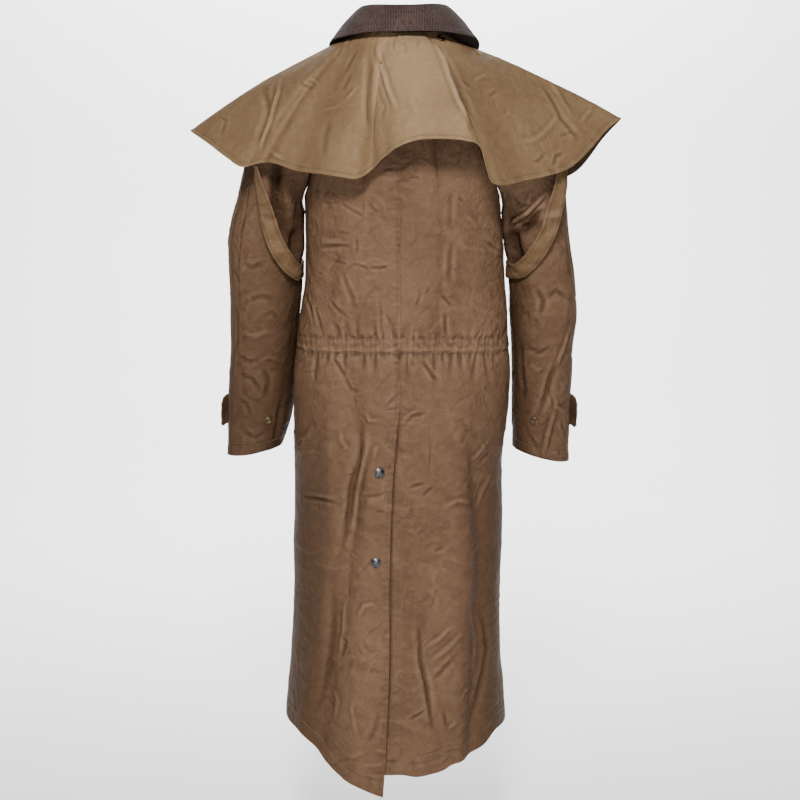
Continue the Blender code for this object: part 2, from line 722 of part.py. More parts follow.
def build_sleeves():
    """Upper and under sleeve on each side, parted at the two long seams."""
    part = 0.35
    for side, label, table in ((1, "left", SLEEVE_LEFT), (-1, "right", SLEEVE_RIGHT)):
        last = len(table) - 1
        stations = [float(k) for k in range(last + 1)]
        upper = [BACK_SLEEVE_SEAM + 15 * k for k in range(11)]
        upper[0] += part
        upper[-1] -= part
        under = [FRONT_SLEEVE_SEAM - 360 + 15 * k for k in range(15)]
        under[0] += part
        under[-1] -= part
        for kind, angles in (("upper", upper), ("under", under)):
            rows = []
            for station in stations:
                row = [sleeve_ring(table, station, a) for a in angles]
                rows.append([Vector((side * p.x, p.y, p.z)) for p in row])
            cloth_piece("sleeve_" + kind + "_" + label, rows, CLOTH, WAX_BROWN)


def build_cape():
    """Shoulder cape from the neck seam to its waved hem."""
    angles = []
    for low, high in zip(CAPE, CAPE[1:]):
        angles.append(low[0])
        if high[0] - low[0] > 4:
            angles.append((low[0] + high[0]) / 2)
    angles.append(CAPE[-1][0])
    rows = []
    for k in range(CAPE_STEPS + 1):
        rows.append([cape_point(a, k / CAPE_STEPS) for a in angles])
    cloth_piece("cape", rows, CLOTH, WAX_TAN)


def build_collar():
    """Turned down collar, cut in one with its stand."""
    end = COLLAR[-1][0]
    count = 30
    angles = [-end + 2 * end * k / count for k in range(count + 1)]
    cloth_piece("collar", [collar_profile(a) for a in angles], CORDUROY, CORD_BROWN, 0.9)


def build_trim():
    """Arm straps, cuff tabs and snaps."""
    for side, label, sleeve, strap in (
        (1, "left", SLEEVE_LEFT, STRAP_LEFT),
        (-1, "right", SLEEVE_RIGHT, STRAP_RIGHT),
    ):
        cloth_piece("arm_strap_" + label, strap_rows(strap, side), CLOTH, WAX_TAN)
        cloth_piece("cuff_tab_" + label, tab_rows(sleeve, side), CLOTH, WAX_BROWN)
        place, out = sleeve_seat(sleeve, 9.95, 72.0, side, RING_RADIUS)
        snap("cuff_snap_" + label, place, out, RING_RADIUS, RING_HEIGHT, BRASS, True)
        place, out = tab_seat(sleeve, side, RING_RADIUS)
        snap("tab_snap_" + label, place, out, RING_RADIUS, RING_HEIGHT, GUNMETAL, False)
    for name, x, z in (("vent_snap_upper", 0.035, -0.703), ("vent_snap_lower", 0.041, -0.862)):
        place, out = body_seat(x, z, 1, 1, SNAP_RADIUS)
        snap(name, place, out, SNAP_RADIUS, SNAP_HEIGHT, GUNMETAL, False)
    for k in range(5):
        place, out = body_seat(0.0, -0.29 - 0.165 * k, 1, -1, SNAP_RADIUS)
        snap("front_snap_" + str(k + 1), place, out, SNAP_RADIUS, SNAP_HEIGHT, GUNMETAL, False)
    point = cape_point(-37, 0.14)
    ahead = cape_point(-33, 0.14) - cape_point(-41, 0.14)
    across = cape_point(-37, 0.18) - cape_point(-37, 0.10)
    place, out = seat(point, ahead, across, RING_RADIUS, Vector((0.0, 0.3, 1.0)))
    snap("neck_snap", place, out, RING_RADIUS, RING_HEIGHT, BRASS, True)


def main():
    for item in list(bpy.data.objects):
        bpy.data.objects.remove(item, do_unlink=True)
    build_body()
    build_sleeves()
    build_cape()
    build_collar()
    build_trim()


main()
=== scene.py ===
# %% [markdown]
# # Long duster coat with a shoulder cape
# The coat hangs open on nobody, as if worn and seen from behind. Its imported model is a
# thin wall for every cloth piece. This script dresses those walls: it reads the same
# cutting tables on a much finer grid, lays the creases, gathers and puckers,
# and gives every piece its waxed cotton, corduroy or metal finish.

# %% Load the imported coat as a fixed frame
import math
import bpy
import numpy as np
from mathutils import Matrix, Vector
from mathutils.bvhtree import BVHTree


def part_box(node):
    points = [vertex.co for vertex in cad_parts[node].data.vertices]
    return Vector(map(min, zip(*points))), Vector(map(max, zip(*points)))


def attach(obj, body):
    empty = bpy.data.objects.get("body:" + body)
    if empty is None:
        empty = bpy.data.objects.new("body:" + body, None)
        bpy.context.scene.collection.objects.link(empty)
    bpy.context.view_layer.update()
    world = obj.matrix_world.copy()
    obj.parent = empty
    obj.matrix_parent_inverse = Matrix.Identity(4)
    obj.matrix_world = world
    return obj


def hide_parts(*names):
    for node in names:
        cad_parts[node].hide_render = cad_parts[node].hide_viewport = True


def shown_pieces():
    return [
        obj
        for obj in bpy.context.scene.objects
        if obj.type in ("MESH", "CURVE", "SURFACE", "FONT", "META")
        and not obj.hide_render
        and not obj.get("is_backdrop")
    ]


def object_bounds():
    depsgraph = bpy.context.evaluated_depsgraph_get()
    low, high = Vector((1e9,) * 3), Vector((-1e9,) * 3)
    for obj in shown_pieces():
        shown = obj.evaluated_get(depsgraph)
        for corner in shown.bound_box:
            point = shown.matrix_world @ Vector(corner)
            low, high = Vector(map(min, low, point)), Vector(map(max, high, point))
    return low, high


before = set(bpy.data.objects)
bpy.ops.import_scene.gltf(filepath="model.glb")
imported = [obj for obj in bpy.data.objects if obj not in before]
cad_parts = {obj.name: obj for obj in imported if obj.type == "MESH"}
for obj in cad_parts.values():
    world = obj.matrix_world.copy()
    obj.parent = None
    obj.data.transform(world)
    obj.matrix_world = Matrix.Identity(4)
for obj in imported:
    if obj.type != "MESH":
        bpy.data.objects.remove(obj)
box_before = [list(corner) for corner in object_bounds()]
print("solid model box:", [[round(v, 3) for v in corner] for corner in box_before])

# %% [markdown]
# ## The cutting tables
# A coat is cut from flat panels, but worn it takes its shape from the body. Sections
# through the worn shape say it in few numbers, and the same numbers made the walls.
# The tables are in millimetres with the neck base at height zero; the front faces -Y,
# and the left side of the wearer is at +X. Blender works in metres, so a small reader
# turns each table into metres.

# %% Sizes shared by the pieces, in metres
cloth = 0.0014
corduroy_wall = 0.0022
armpit_z = -0.245
hem_level = -1.250
neck_half, neck_back, neck_front, neck_share = 0.078, 0.074, 0.088, 0.38
edge_gap = 0.0012
hem_stitch, cuff_stitch, vent_stitch, front_stitch = 0.0250, 0.0180, 0.0045, 0.0075
cape_stitch, collar_stitch, strap_stitch = 0.0070, 0.0090, 0.0040
print("wall of the cloth:", cloth * 1000, "mm")

# %% Read a table of millimetres
def metres(table, plain=0):
    """Rows in millimetres as metres; the first plain columns stay as they are."""
    return [row[:plain] + tuple(v / 1000 for v in row[plain:]) for row in table]


# %% Torso and skirt: height, left half, right half, back depth, front depth
torso_sections = metres([
    (-1300, 216, 202, 170, 166),
    (-1210, 213, 196, 167, 162),
    (-1130, 206, 190, 163, 158),
    (-1070, 200, 185, 160, 155),
    (-950, 194, 183, 154, 150),
    (-840, 192, 186, 149, 146),
    (-720, 190, 183.5, 144, 142),
    (-620, 190, 193, 140, 137),
    (-550, 189, 196, 134, 132),
    (-500, 183, 192, 125, 125),
    (-475, 181, 191, 123, 124),
    (-430, 173.5, 188.5, 124, 127),
    (-395, 168, 184.6, 123, 128),
    (-360, 166.5, 182.2, 122, 128),
    (-300, 165, 178.5, 121, 128),
    (-245, 166.5, 174, 120, 126),
])
print(len(torso_sections), "sections through the body")

# %% Middle of the back and front above the armpit: height, depth
back_line = metres([
    (-245, 120),
    (-180, 121),
    (-120, 119),
    (-70, 112),
    (-35, 103),
    (0, 90),
    (36.1, 74),
])
front_line = metres([
    (-245, 126),
    (-180, 122),
    (-120, 113),
    (-70, 100),
    (-35.1, 88),
])
print("back depth at the neck:", back_line[-1][1])

# %% Hem height by place across: x, left back, right back, front
hem_heights = metres([
    (0, -1298, -1254, -1244),
    (35, -1291, -1254, -1244),
    (75, -1276, -1247, -1242),
    (100, -1263, -1236, -1238),
    (128, -1243, -1230, -1230),
    (153, -1221, -1219, -1219),
    (176, -1198, -1200, -1203),
    (200, -1194, -1203, -1200),
    (240, -1194, -1206, -1200),
])
print("lowest place of the hem:", min(row[1] for row in hem_heights))

# %% Free edge of the left vent flap: height, x
vent_edge = metres([
    (-1300, 34),
    (-1194, 26),
    (-1059, 19),
    (-882, 18),
    (-735, 13),
    (-640, 6),
    (-590, 1),
    (-560, 0),
    (50, 0),
])
print("length of the vent:", round(vent_edge[-3][0] - hem_level, 3))

# %% [markdown]
# ## Long folds
# A heavy skirt hangs in long soft folds from the waist to the hem. Each is one row: a
# bent line down the cloth, then its depth and width. The solid walls have the same
# folds, so the finer cloth here lies right on them.

# %% Long folds: face, x and z at the top, middle and foot, then depth and width
long_folds = metres([
    (1, 94, -520, 74, -700, 150, -1200, -12.1, 20),
    (1, 120, -600, 112, -850, 172, -1220, 9.5, 18),
    (1, 52, -620, 55, -900, 85, -1240, 8.1, 22),
    (1, -128, -660, -148, -860, -130, -1240, -10.8, 17),
    (1, -100, -600, -112, -860, -100, -1240, 8.1, 20),
    (1, -45, -920, -56, -1100, -92, -1240, -7.4, 14),
    (1, -10, -700, -22, -950, -30, -1240, 4.7, 18),
    (1, -76, -250, -78, -340, -66, -450, -4, 11),
    (1, 66, -270, 88, -340, 110, -420, 4, 13),
    (1, 128, -250, 118, -350, 122, -450, -4, 16),
    (-1, 90, -550, 100, -850, 120, -1220, -10.8, 22),
    (-1, 52, -600, 56, -900, 66, -1230, 6.8, 22),
    (-1, -90, -550, -104, -850, -124, -1220, -10.8, 22),
    (-1, -54, -600, -60, -900, -70, -1230, 6.8, 22),
], 1)
print(len(long_folds), "long folds")

# %% [markdown]
# ## Sleeves, cape, collar and straps in numbers
# A sleeve is a row of slanted rings from the armhole to the cuff; its tuck, in
# thousandths, is how far the cloth is pressed in under the arm. The cape is known by its
# waved hem, the collar by the reach of its leaf, and a strap by its two edges. Curves
# drawn in Blender could hold the same places, but a table is easier to check.

# %% Sleeve rings: inner x and z, outer x and z, y middle, y half, dip, tuck
left_sleeve = metres([
    (171.5, -240, 205, -44, 0, 74, -36, 0),
    (172.2, -253, 234, -70, 0, 71.5, -18, 100),
    (172.6, -268, 253, -113, 0, 69, -6, 280),
    (172.8, -288, 266, -172, -1, 67, 0, 420),
    (172.8, -312, 283, -236, -3, 65, 0, 500),
    (173, -344, 301, -304, -6, 64, 0, 480),
    (173.5, -390, 303, -376, -11, 63.5, 0, 300),
    (179, -450, 302, -445, -19, 62, 0, 100),
    (186, -520, 305, -520, -29, 60, 0, 0),
    (190.5, -585, 311, -590, -37, 58, 0, 0),
    (197.5, -640, 313, -650, -43, 56, 0, 0),
    (216, -694, 316, -714, -46, 53, 0, 0),
])
right_sleeve = metres([
    (179, -240, 211, -44, 0, 74, -36, 0),
    (180.5, -253, 241, -70, 0, 71.5, -18, 100),
    (182, -268, 262, -113, 0, 69, -6, 300),
    (183.2, -288, 279, -172, -1, 67, 0, 460),
    (185, -312, 289, -236, -3, 65, 0, 550),
    (188.5, -344, 296, -304, -6, 64, 0, 520),
    (192.8, -390, 308, -376, -11, 63.5, 0, 320),
    (195.8, -450, 315, -445, -19, 62, 0, 100),
    (201, -520, 310, -520, -29, 60, 0, 0),
    (203, -585, 310, -590, -37, 58, 0, 0),
    (204.5, -640, 309, -650, -43, 56, 0, 0),
    (207, -700, 309, -726, -46, 53, 0, 0),
])
back_sleeve_seam, front_sleeve_seam = 150.0, 300.0
sleeve_girth = 0.44
print(len(left_sleeve), "rings in a sleeve")

# %% Cape hem: neck angle from the back, then hem x, y and z
cape_hem = metres([
    (-165, -62, -174, -222),
    (-150, -130, -172, -232),
    (-132, -225, -142, -235),
    (-115, -312, -90, -208),
    (-102, -360, -38, -140),
    (-90, -383, 0, -108),
    (-81, -354, 26, -128),
    (-72, -326, 54, -156),
    (-62, -292, 83, -184),
    (-52, -253, 111, -197),
    (-43, -208, 137, -204),
    (-35, -172, 149, -211),
    (-30, -150, 153, -205),
    (-27, -141, 170, -182),
    (-24, -130, 192, -146),
    (-18, -104, 202, -135),
    (-11, -66, 204, -132),
    (-4, -30, 201, -134),
    (3, 4, 189, -147),
    (9, 30, 168, -167),
    (14, 48, 152, -187),
    (20, 72, 167, -199),
    (26, 98, 167, -196),
    (33, 132, 156, -192),
    (41, 172, 139, -188),
    (49, 212, 121, -176),
    (54, 233, 103, -177),
    (60, 264, 116, -183),
    (69, 294, 89, -168),
    (79, 330, 50, -146),
    (90, 363, 0, -129),
    (102, 322, -54, -160),
    (116, 268, -104, -200),
    (132, 200, -145, -222),
    (150, 130, -172, -226),
    (165, 62, -174, -220),
], 1)
print("width of the cape:", round(max(r[1] for r in cape_hem) - min(r[1] for r in cape_hem), 3))

# %% Collar leaf: neck angle, stand height, leaf reach, leaf edge height
collar_leaf = metres([
    (0, 40.5, 25, 3),
    (30, 40, 30, 1),
    (60, 38.5, 41, -6),
    (90, 36.5, 50, -9),
    (120, 33, 52, -29),
    (140, 30, 52, -44),
    (153, 28, 46, -50),
], 1)
print("collar stand at the back:", collar_leaf[0][1])

# %% Arm strap edges: outer x, y, z, then inner x, y, z
left_strap = metres([
    (249, 82, -190, 240, 104, -192),
    (246, 81, -225, 232, 100, -216),
    (240, 80, -272, 217, 90, -254),
    (226, 76, -322, 202, 78, -303),
    (204, 60, -362, 184, 58, -340),
    (180, 34, -385, 172.4, 31, -357),
    (170.8, 10, -384, 170, 9, -354),
    (170.8, -16, -384, 170, -16, -354),
    (178, -46, -384, 172.5, -44, -356),
    (204, -78, -352, 187, -74, -330),
    (232, -87, -300, 208, -84, -285),
    (246, -87, -240, 222, -86, -232),
    (250, -93, -204, 224, -98, -206),
])
right_strap = metres([
    (286, 66, -194, 266, 78, -198),
    (286, 66, -222, 262, 76, -222),
    (280, 70, -256, 252, 76, -252),
    (268, 74, -300, 242, 78, -288),
    (246, 70, -342, 222, 70, -326),
    (216, 48, -377, 199, 44, -355),
    (188.2, 10, -384, 186.9, 8, -354),
    (188.2, -16, -384, 186.9, -16, -354),
    (203, -54, -384, 196, -50, -356),
    (226, -78, -352, 206, -76, -332),
    (254, -84, -300, 229, -84, -288),
    (270, -84, -250, 246, -84, -242),
    (276, -88, -214, 250, -92, -216),
])
print(len(left_strap), "places along a strap")

# %% Cuff tab: sleeve angle, stand off in metres, upper, middle and lower ring
cuff_tab = [
    (168, 0.0115, 9.52, 9.88, 10.10),
    (180, 0.0080, 9.34, 10.00, 10.22),
    (195, 0.0050, 9.28, 10.00, 10.20),
    (210, 0.0016, 9.28, 10.00, 10.20),
    (225, 0.0005, 9.28, 10.00, 10.20),
    (240, 0.0000, 9.28, 10.00, 10.20),
    (255, 0.0000, 9.28, 10.00, 10.20),
    (270, 0.0000, 9.28, 10.00, 10.20),
    (285, 0.0000, 9.28, 10.00, 10.20),
]

# %% [markdown]
# ## Reading the tables as smooth surfaces
# Each surface is a function that takes arrays of places and gives arrays of points, so
# one call makes a whole panel. A curve through the table rows keeps the cloth smooth
# between them. Plain Python loops would give the same shape, only much slower.

# %% Read a table smoothly, and ease between two values
def along(table, at):
    """Every column of a table, read smoothly at any values of its first column."""
    rows = np.array(table, float)
    at = np.clip(np.asarray(at, float), rows[0, 0], rows[-1, 0])
    place = np.clip(np.searchsorted(rows[:, 0], at, side="right") - 1, 0, len(rows) - 2)
    low, high = rows[place], rows[place + 1]
    before = rows[np.maximum(place - 1, 0)]
    after = rows[np.minimum(place + 2, len(rows) - 1)]
    span = high[..., :1] - low[..., :1]
    t = (at[..., None] - low[..., :1]) / span
    rise = (high - before) / (high[..., :1] - before[..., :1]) * span
    fall = (after - low) / (after[..., :1] - low[..., :1]) * span
    value = (2 * t**3 - 3 * t**2 + 1) * low + (t**3 - 2 * t**2 + t) * rise
    value += (3 * t**2 - 2 * t**3) * high + (t**3 - t**2) * fall
    return np.moveaxis(value[..., 1:], -1, 0)


def ease(value, start, end):
    """0 at start and 1 at end, with a soft turn at both."""
    t = np.clip((value - start) / (end - start), 0.0, 1.0)
    return t * t * (3 - 2 * t)


def points(x, y, z):
    """Arrays of places put together as points."""
    return np.stack(np.broadcast_arrays(x, y, z), -1).astype(float)


print("collar reach at the side:", along(collar_leaf, 90.0).round(4))

# %% [markdown]
# ## Surfaces of the coat
# Every surface is named by places that a tailor would use: an angle round the neck or a
# sleeve, a height on the body, a share of the way from a seam to an edge. A crease can
# then be placed on any piece without knowing where it lies in space. Sculpting would
# work too, but could not be changed by editing a number.

# %% Neck ring and sleeve rings
def neck_place(degrees, out=0.0, up=0.0):
    """Points on the neck ring; 0 is the back, 90 the left side, 180 the front."""
    angle = np.radians(degrees)
    sine, cosine = np.sin(angle), np.cos(angle)
    depth = np.where(cosine > 0, neck_back, neck_front)
    height = 0.0132 + 0.0355 * cosine - 0.0127 * np.cos(2 * angle)
    return points((neck_half + out) * sine, (depth + out) * cosine, height + up)


def sleeve_place(table, station, degrees):
    """Points on a sleeve; 0 is the inner side, 90 the back, 180 the outer side."""
    numbered = [(float(k),) + row for k, row in enumerate(table)]
    station, degrees = np.broadcast_arrays(np.asarray(station, float), degrees)
    in_x, in_z, out_x, out_z, y_mid, y_half, dip, tuck = along(numbered, station)
    angle = np.radians(degrees)
    share = (1 - np.cos(angle)) / 2
    x = in_x + (out_x - in_x) * share + dip * np.sin(angle) ** 2
    turn = (degrees + 180.0) % 360.0 - 180.0
    half = y_half * (1 - tuck * np.exp(-(((turn - 30.0) / 24.0) ** 2)))
    return points(x, y_mid + half * np.sin(angle), in_z + (out_z - in_z) * share)


# %% Torso and skirt below the armpit
def long_fold_push(x, z, face):
    """How far the long folds push the cloth out."""
    push = np.zeros(np.broadcast(x, z).shape)
    for side, x0, z0, x1, z1, x2, z2, depth, width in long_folds:
        if side != face:
            continue
        upper = x0 + (x1 - x0) * (z0 - z) / (z0 - z1)
        lower = x1 + (x2 - x1) * (z1 - z) / (z1 - z2)
        centre = np.where(z >= z1, upper, lower)
        fade = ease(z, z0 + 0.03, z0 - 0.07) * ease(z, z2 - 0.07, z2 + 0.02)
        push += depth * fade * np.exp(-(((x - centre) / width) ** 2))
    return push


def torso_place(x, z, face, out=0.0):
    """Points on the back (face 1) or the front (face -1) of the torso and skirt."""
    left, right, back, front = along(torso_sections, z)
    half = np.where(x > 0, left, right)
    ratio = np.clip(np.abs(x) / half, 0.0, 1.0)
    lean = np.arcsin(np.sign(x) * ratio**1.12)
    depth = back if face > 0 else front
    level = np.clip(np.cos(lean), 0.0, 1.0)
    push = long_fold_push(x, z, face) + out
    y = depth * level**0.90 + push * level
    return points(x + push * np.sin(lean), face * y, z)


print("skirt at the knee:", torso_place(0.1, -0.9, 1).round(3))

# %% [markdown]
# ## Shoulders
# Above the armpit a panel is held on four sides: the armpit line, the neck and shoulder
# line, the middle and the armhole. A blend of the four edges fills the cloth between
# them, as a patch of cloth fills a frame.

# %% Shoulders, from the armpit up to the neck and the armhole
def armhole_place(t, side, face):
    """Armhole edge of a body panel, just inside the sleeve."""
    table = left_sleeve if side > 0 else right_sleeve
    ring = sleeve_place(table, 0.0, 180.0 * np.asarray(t, float))
    close = (1 - np.asarray(t, float)) ** 4
    inset = table[0][0] - torso_sections[-1][1 if side > 0 else 2] - edge_gap
    x = ring[..., 0] - edge_gap - inset * close
    y = np.maximum(0.0007, ring[..., 1] - 0.0006)
    return points(side * x, face * y, ring[..., 2] - 0.005 * close)


def top_place(share, side, face):
    """Neck curve and shoulder line, from the middle to the shoulder tip."""
    turn = np.degrees(np.arcsin(np.clip(share / neck_share, 0.0, 1.0)))
    curve = neck_place(turn if face > 0 else 180.0 - turn)
    t = np.clip((share - neck_share) / (1 - neck_share), 0.0, 1.0)[..., None]
    tip = sleeve_place(left_sleeve if side > 0 else right_sleeve, 0.0, 180.0)
    tip = np.array([tip[0] - edge_gap, 0.0, tip[2]])
    line = neck_place(90.0) * (1 - t) + tip * t
    place = np.where((share <= neck_share)[..., None], curve, line)
    y = face * np.maximum(0.0008, np.abs(place[..., 1]))
    return points(side * place[..., 0], y, place[..., 2])


def shoulder_place(x, t, side, face):
    """Points above the armpit on one side, named by their place across the armpit."""
    half = along(torso_sections, armpit_z)[0 if side > 0 else 1]
    share = np.minimum(1.0, np.abs(x) / half)
    u, t = share[..., None], np.asarray(t, float)[..., None]
    low_mid = torso_place(0.0, armpit_z, face)
    low_side = armhole_place(0.0, side, face)
    last = torso_place(side * half, armpit_z, face)
    low = torso_place(np.clip(x, -half, half), armpit_z, face)
    low = np.where(u < 0.999, low + (low_side - last) * u**4, low_side)
    high = top_place(share, side, face)
    high_mid, high_side = (top_place(np.array(s), side, face) for s in (0.0, 1.0))
    top = neck_place(0.0 if face > 0 else 180.0)
    height = armpit_z + (top[2] - armpit_z) * t[..., 0]
    depth = along(back_line if face > 0 else front_line, height)[0]
    start = along(back_line if face > 0 else front_line, armpit_z)[0]
    middle = points(0.0, face * depth, height)
    middle = middle + (low_mid - [0.0, face * start, armpit_z]) * (1 - t) ** 2
    edge = armhole_place(t[..., 0], side, face)
    place = low * (1 - t) + high * t + middle * (1 - u) + edge * u
    place -= low_mid * (1 - u) * (1 - t) + low_side * u * (1 - t)
    return place - high_mid * (1 - u) * t - high_side * u * t


print("armpit of the back:", shoulder_place(np.array(0.1), np.array(0.0), 1, 1).round(4))

# %% [markdown]
# ## Cape and collar
# The cape runs from the neck seam to its hem on a curve with a little crown over the
# shoulder. The collar goes straight up as a stand, rolls over and comes down as a leaf;
# a smooth curve through eight places makes that roll at every angle round the neck.

# %% Cape and collar
def cape_place(degrees, t):
    """Points on the cape from the neck seam, t = 0, to its hem, t = 1."""
    degrees, t = np.broadcast_arrays(np.asarray(degrees, float), np.asarray(t, float))
    hem = np.moveaxis(along(cape_hem, degrees), 0, -1)
    neck = neck_place(degrees, 0.0042, 0.0012)
    middle = (neck + hem) / 2
    flatter = np.where(degrees > 0, 0.05, 0.10) * ease(np.abs(degrees), 106.0, 88.0)
    crown = 0.28 + flatter * np.sin(np.radians(degrees)) ** 2
    middle[..., 2] = neck[..., 2] + crown * (hem[..., 2] - neck[..., 2])
    t = t[..., None]
    return neck * (1 - t) ** 2 + middle * 2 * t * (1 - t) + hem * t * t


def collar_place(degrees, t):
    """Points on the collar from the stand base, t = 0, to the leaf edge, t = 1."""
    degrees, t = np.broadcast_arrays(np.asarray(degrees, float), np.asarray(t, float))
    stand, reach_out, edge_up = along(collar_leaf, np.abs(degrees))
    path = [(0.0 * stand, 0.0018 + 0 * stand), (-0.0020 + 0 * stand, stand * 0.55)]
    path += [(-0.0025 + 0 * stand, stand), (0.0015 + 0 * stand, stand + 0.0050)]
    path += [(0.0070 + 0 * stand, stand + 0.0020)]
    for share in (0.35, 0.70, 1.0):
        bow = 0.005 * math.sin(math.pi * share) * (1 - 0.4 * share)
        up = stand + 0.0020 + (edge_up - stand - 0.0020) * share
        path.append((0.0070 + (reach_out - 0.0070) * share + bow, up))
    path = np.array(path)
    knots = np.array([0.0, 0.14, 0.28, 0.36, 0.44, 0.62, 0.81, 1.0])
    place = np.clip(np.searchsorted(knots, t, side="right") - 1, 0, 6)
    s = (t - knots[place]) / (knots[place + 1] - knots[place])
    each = np.indices(t.shape)

    def read(k):
        return np.moveaxis(path[(np.clip(k, 0, 7), slice(None)) + tuple(each)], -1, 0)

    p0, p1, p2, p3 = (read(place + k) for k in (-1, 0, 1, 2))
    bend = 2 * p0 - 5 * p1 + 4 * p2 - p3 + s * (3 * (p1 - p2) + p3 - p0)
    value = p1 + 0.5 * s * (p2 - p0 + s * bend)
    place = neck_place(degrees, value[0], value[1])
    rise = np.minimum(1.0, t / 0.28)
    place[..., 2] += -0.012 * place[..., 0] * rise
    place[..., 0] += -0.007 * rise
    return place


print("collar back edge:", collar_place(0.0, 1.0).round(4))

# %% [markdown]
# ## Creases and swell
# Worn cloth is never smooth. A crease is given by a short line of places on its own
# panel; the distance of every point to that line gives a trough or a ridge with a low
# lip on both sides, as stiff cloth makes. It could be painted as a bump instead, but
# real depth also bends the outline and the shadows.

# %% Distance from points to a line, and the crease that it makes
def crease(grid, line, depth, width, taper=0.35):
    """Sharp trough, or ridge where depth is above zero, between two low lips."""
    line = np.array(line, float)
    low, high = line.min(0) - 4 * width, line.max(0) + 4 * width
    near = np.all((grid > low) & (grid < high), axis=-1)
    push = np.zeros(grid.shape[:-1])
    spots = grid[near]
    best = np.full(len(spots), 9.0)
    place = np.zeros(len(spots))
    walked = 0.0
    for start, end in zip(line, line[1:]):
        ahead = end - start
        size = max(1e-6, float(np.linalg.norm(ahead)))
        share = np.clip(((spots - start) @ ahead) / size**2, 0.0, 1.0)
        away = np.linalg.norm(spots - start - share[:, None] * ahead, axis=-1)
        closer = away < best
        best = np.where(closer, away, best)
        place = np.where(closer, walked + share * size, place)
        walked += size
    fade = ease(place, 0.0, taper * walked) * ease(place, walked, (1 - taper) * walked)
    lips = 0.34 * ease(width, 0.006, 0.003) * np.exp(-(((best / width - 2.1) / 0.8) ** 2))
    push[near] = depth * fade * (np.exp(-((best / width) ** 2)) - lips)
    return push


def spread(line, parts=5):
    """A line of places with more places between them."""
    line = np.array(line, float)
    at = np.linspace(0, len(line) - 1, parts * (len(line) - 1) + 1)
    return np.stack([np.interp(at, range(len(line)), line[:, k]) for k in (0, 1)], -1)


def crease_rows(table, first=1000, second=1000):
    """Rows of depth and width in tenths of a millimetre, then pairs of places."""
    rows = []
    for depth, width, *places in table:
        line = [(a / first, b / second) for a, b in zip(places[::2], places[1::2])]
        rows.append((line, depth / 10000, width / 10000))
    return rows


def creases_on(grid, table, surface, strength=1.0):
    """All the creases of one table, laid on a grid of the same surface."""
    push = np.zeros(grid.shape[:-1])
    for line, depth, width in table:
        places = spread(line)
        push += crease(grid, surface(places[:, 0], places[:, 1]), strength * depth, 0.64 * width)
    return push


def swell(u, v, pitch, seed, waves=9):
    """Gentle uneven swell between about -1 and 1, from a few crossing waves."""
    draw = np.random.default_rng(seed)
    total = np.zeros(np.broadcast(u, v).shape)
    for turn, phase, grow in draw.random((waves, 3)):
        step = 2 * math.pi / (pitch * (0.7 + 0.9 * grow))
        turn = turn * math.pi
        total += np.sin((u * math.cos(turn) + v * math.sin(turn)) * step + phase * 7.0)
    return total / math.sqrt(waves * 2.0)


def crinkle(u, v, pitch, seed):
    """Sharp little ridges where the swell crosses zero, as in stiff waxed cloth."""
    first, second = swell(u, v, pitch, seed), swell(u, v, pitch * 1.7, seed + 1)
    return np.exp(-((first / 0.22) ** 2)) * ease(second, -0.2, 0.9)


print("swell at one place:", swell(0.1, 0.2, 0.05, 1).round(3))

# %% [markdown]
# ## Edges and stitch lines
# A seam shows because thread pulls the cloth down beside a turned edge and puckers it.
# The distance from the edge, measured along the cloth, says where. Counting rows of the
# grid would not do, because its rows are not evenly apart.

# %% Directions and lengths on a grid
def facing(grid):
    """Unit normals of a grid of points."""
    out = np.cross(np.gradient(grid, axis=1), np.gradient(grid, axis=0))
    return out / np.maximum(1e-12, np.linalg.norm(out, axis=-1, keepdims=True))


def area_of(grid):
    """Area of a grid of points, in square metres."""
    a = grid[1:, 1:] - grid[:-1, :-1]
    b = grid[1:, :-1] - grid[:-1, 1:]
    return float(np.linalg.norm(np.cross(a, b), axis=-1).sum() / 2)


def from_edge(grid, edge):
    """Distance of every point from one edge of its grid, along the cloth."""
    axis = 0 if edge in ("first row", "last row") else 1
    size = np.linalg.norm(np.diff(grid, axis=axis), axis=-1)
    start = np.zeros_like(np.take(size, [0], axis=axis))
    length = np.concatenate([start, np.cumsum(size, axis=axis)], axis)
    if edge.startswith("last"):
        return np.take(length, [-1], axis=axis) - length
    return length


def sewn_edge(away, inset, roll=0.0005, groove=0.0008):
    """Groove of a stitch line, with the turned edge standing a little proud of it."""
    turned = roll * ease(away, inset + 0.001, inset - 0.002)
    return turned - groove * np.exp(-(((away - inset) / 0.0018) ** 2))


def puckers(place, away, inset, seed, depth=0.0006, pitch=0.011):
    """Small pulls across a stitch line."""
    wave = swell(place, place * 0.0, pitch, seed, 5)
    return depth * wave * np.exp(-(((away - inset) / 0.008) ** 2))


print("groove of a stitch line:", sewn_edge(hem_stitch, hem_stitch))

# %% [markdown]
# ## From a grid to a piece of cloth
# A grid of points becomes a mesh of quads, with its flat place on the cloth kept as UV
# in metres, so that a weave or a corduroy wale has its real width. The Solidify
# modifier gives it a wall, with a second material on the hidden face. The sharp part
# of the creases is stored with the points, for pale rubbed ridges and painted shade in
# the troughs. So is a map of painted shade, which can also be below zero as painted light.

# %% Even out a bend, and find the sharp ridges and troughs
def soften(grid, level, reach, rounds=160):
    """Even out the bend of a grid at the height where two of its parts meet."""
    share = np.exp(-(((grid[1:-1, :, 2:] - level) / reach) ** 2))
    edge = np.minimum(np.arange(grid.shape[1]), np.arange(grid.shape[1])[::-1])
    share = share * np.minimum(1.0, edge / 8.0)[None, :, None] * 0.5
    for _ in range(rounds):
        grid = grid.copy()
        grid[1:-1] += share * ((grid[:-2] + grid[2:]) / 2 - grid[1:-1])
    return grid


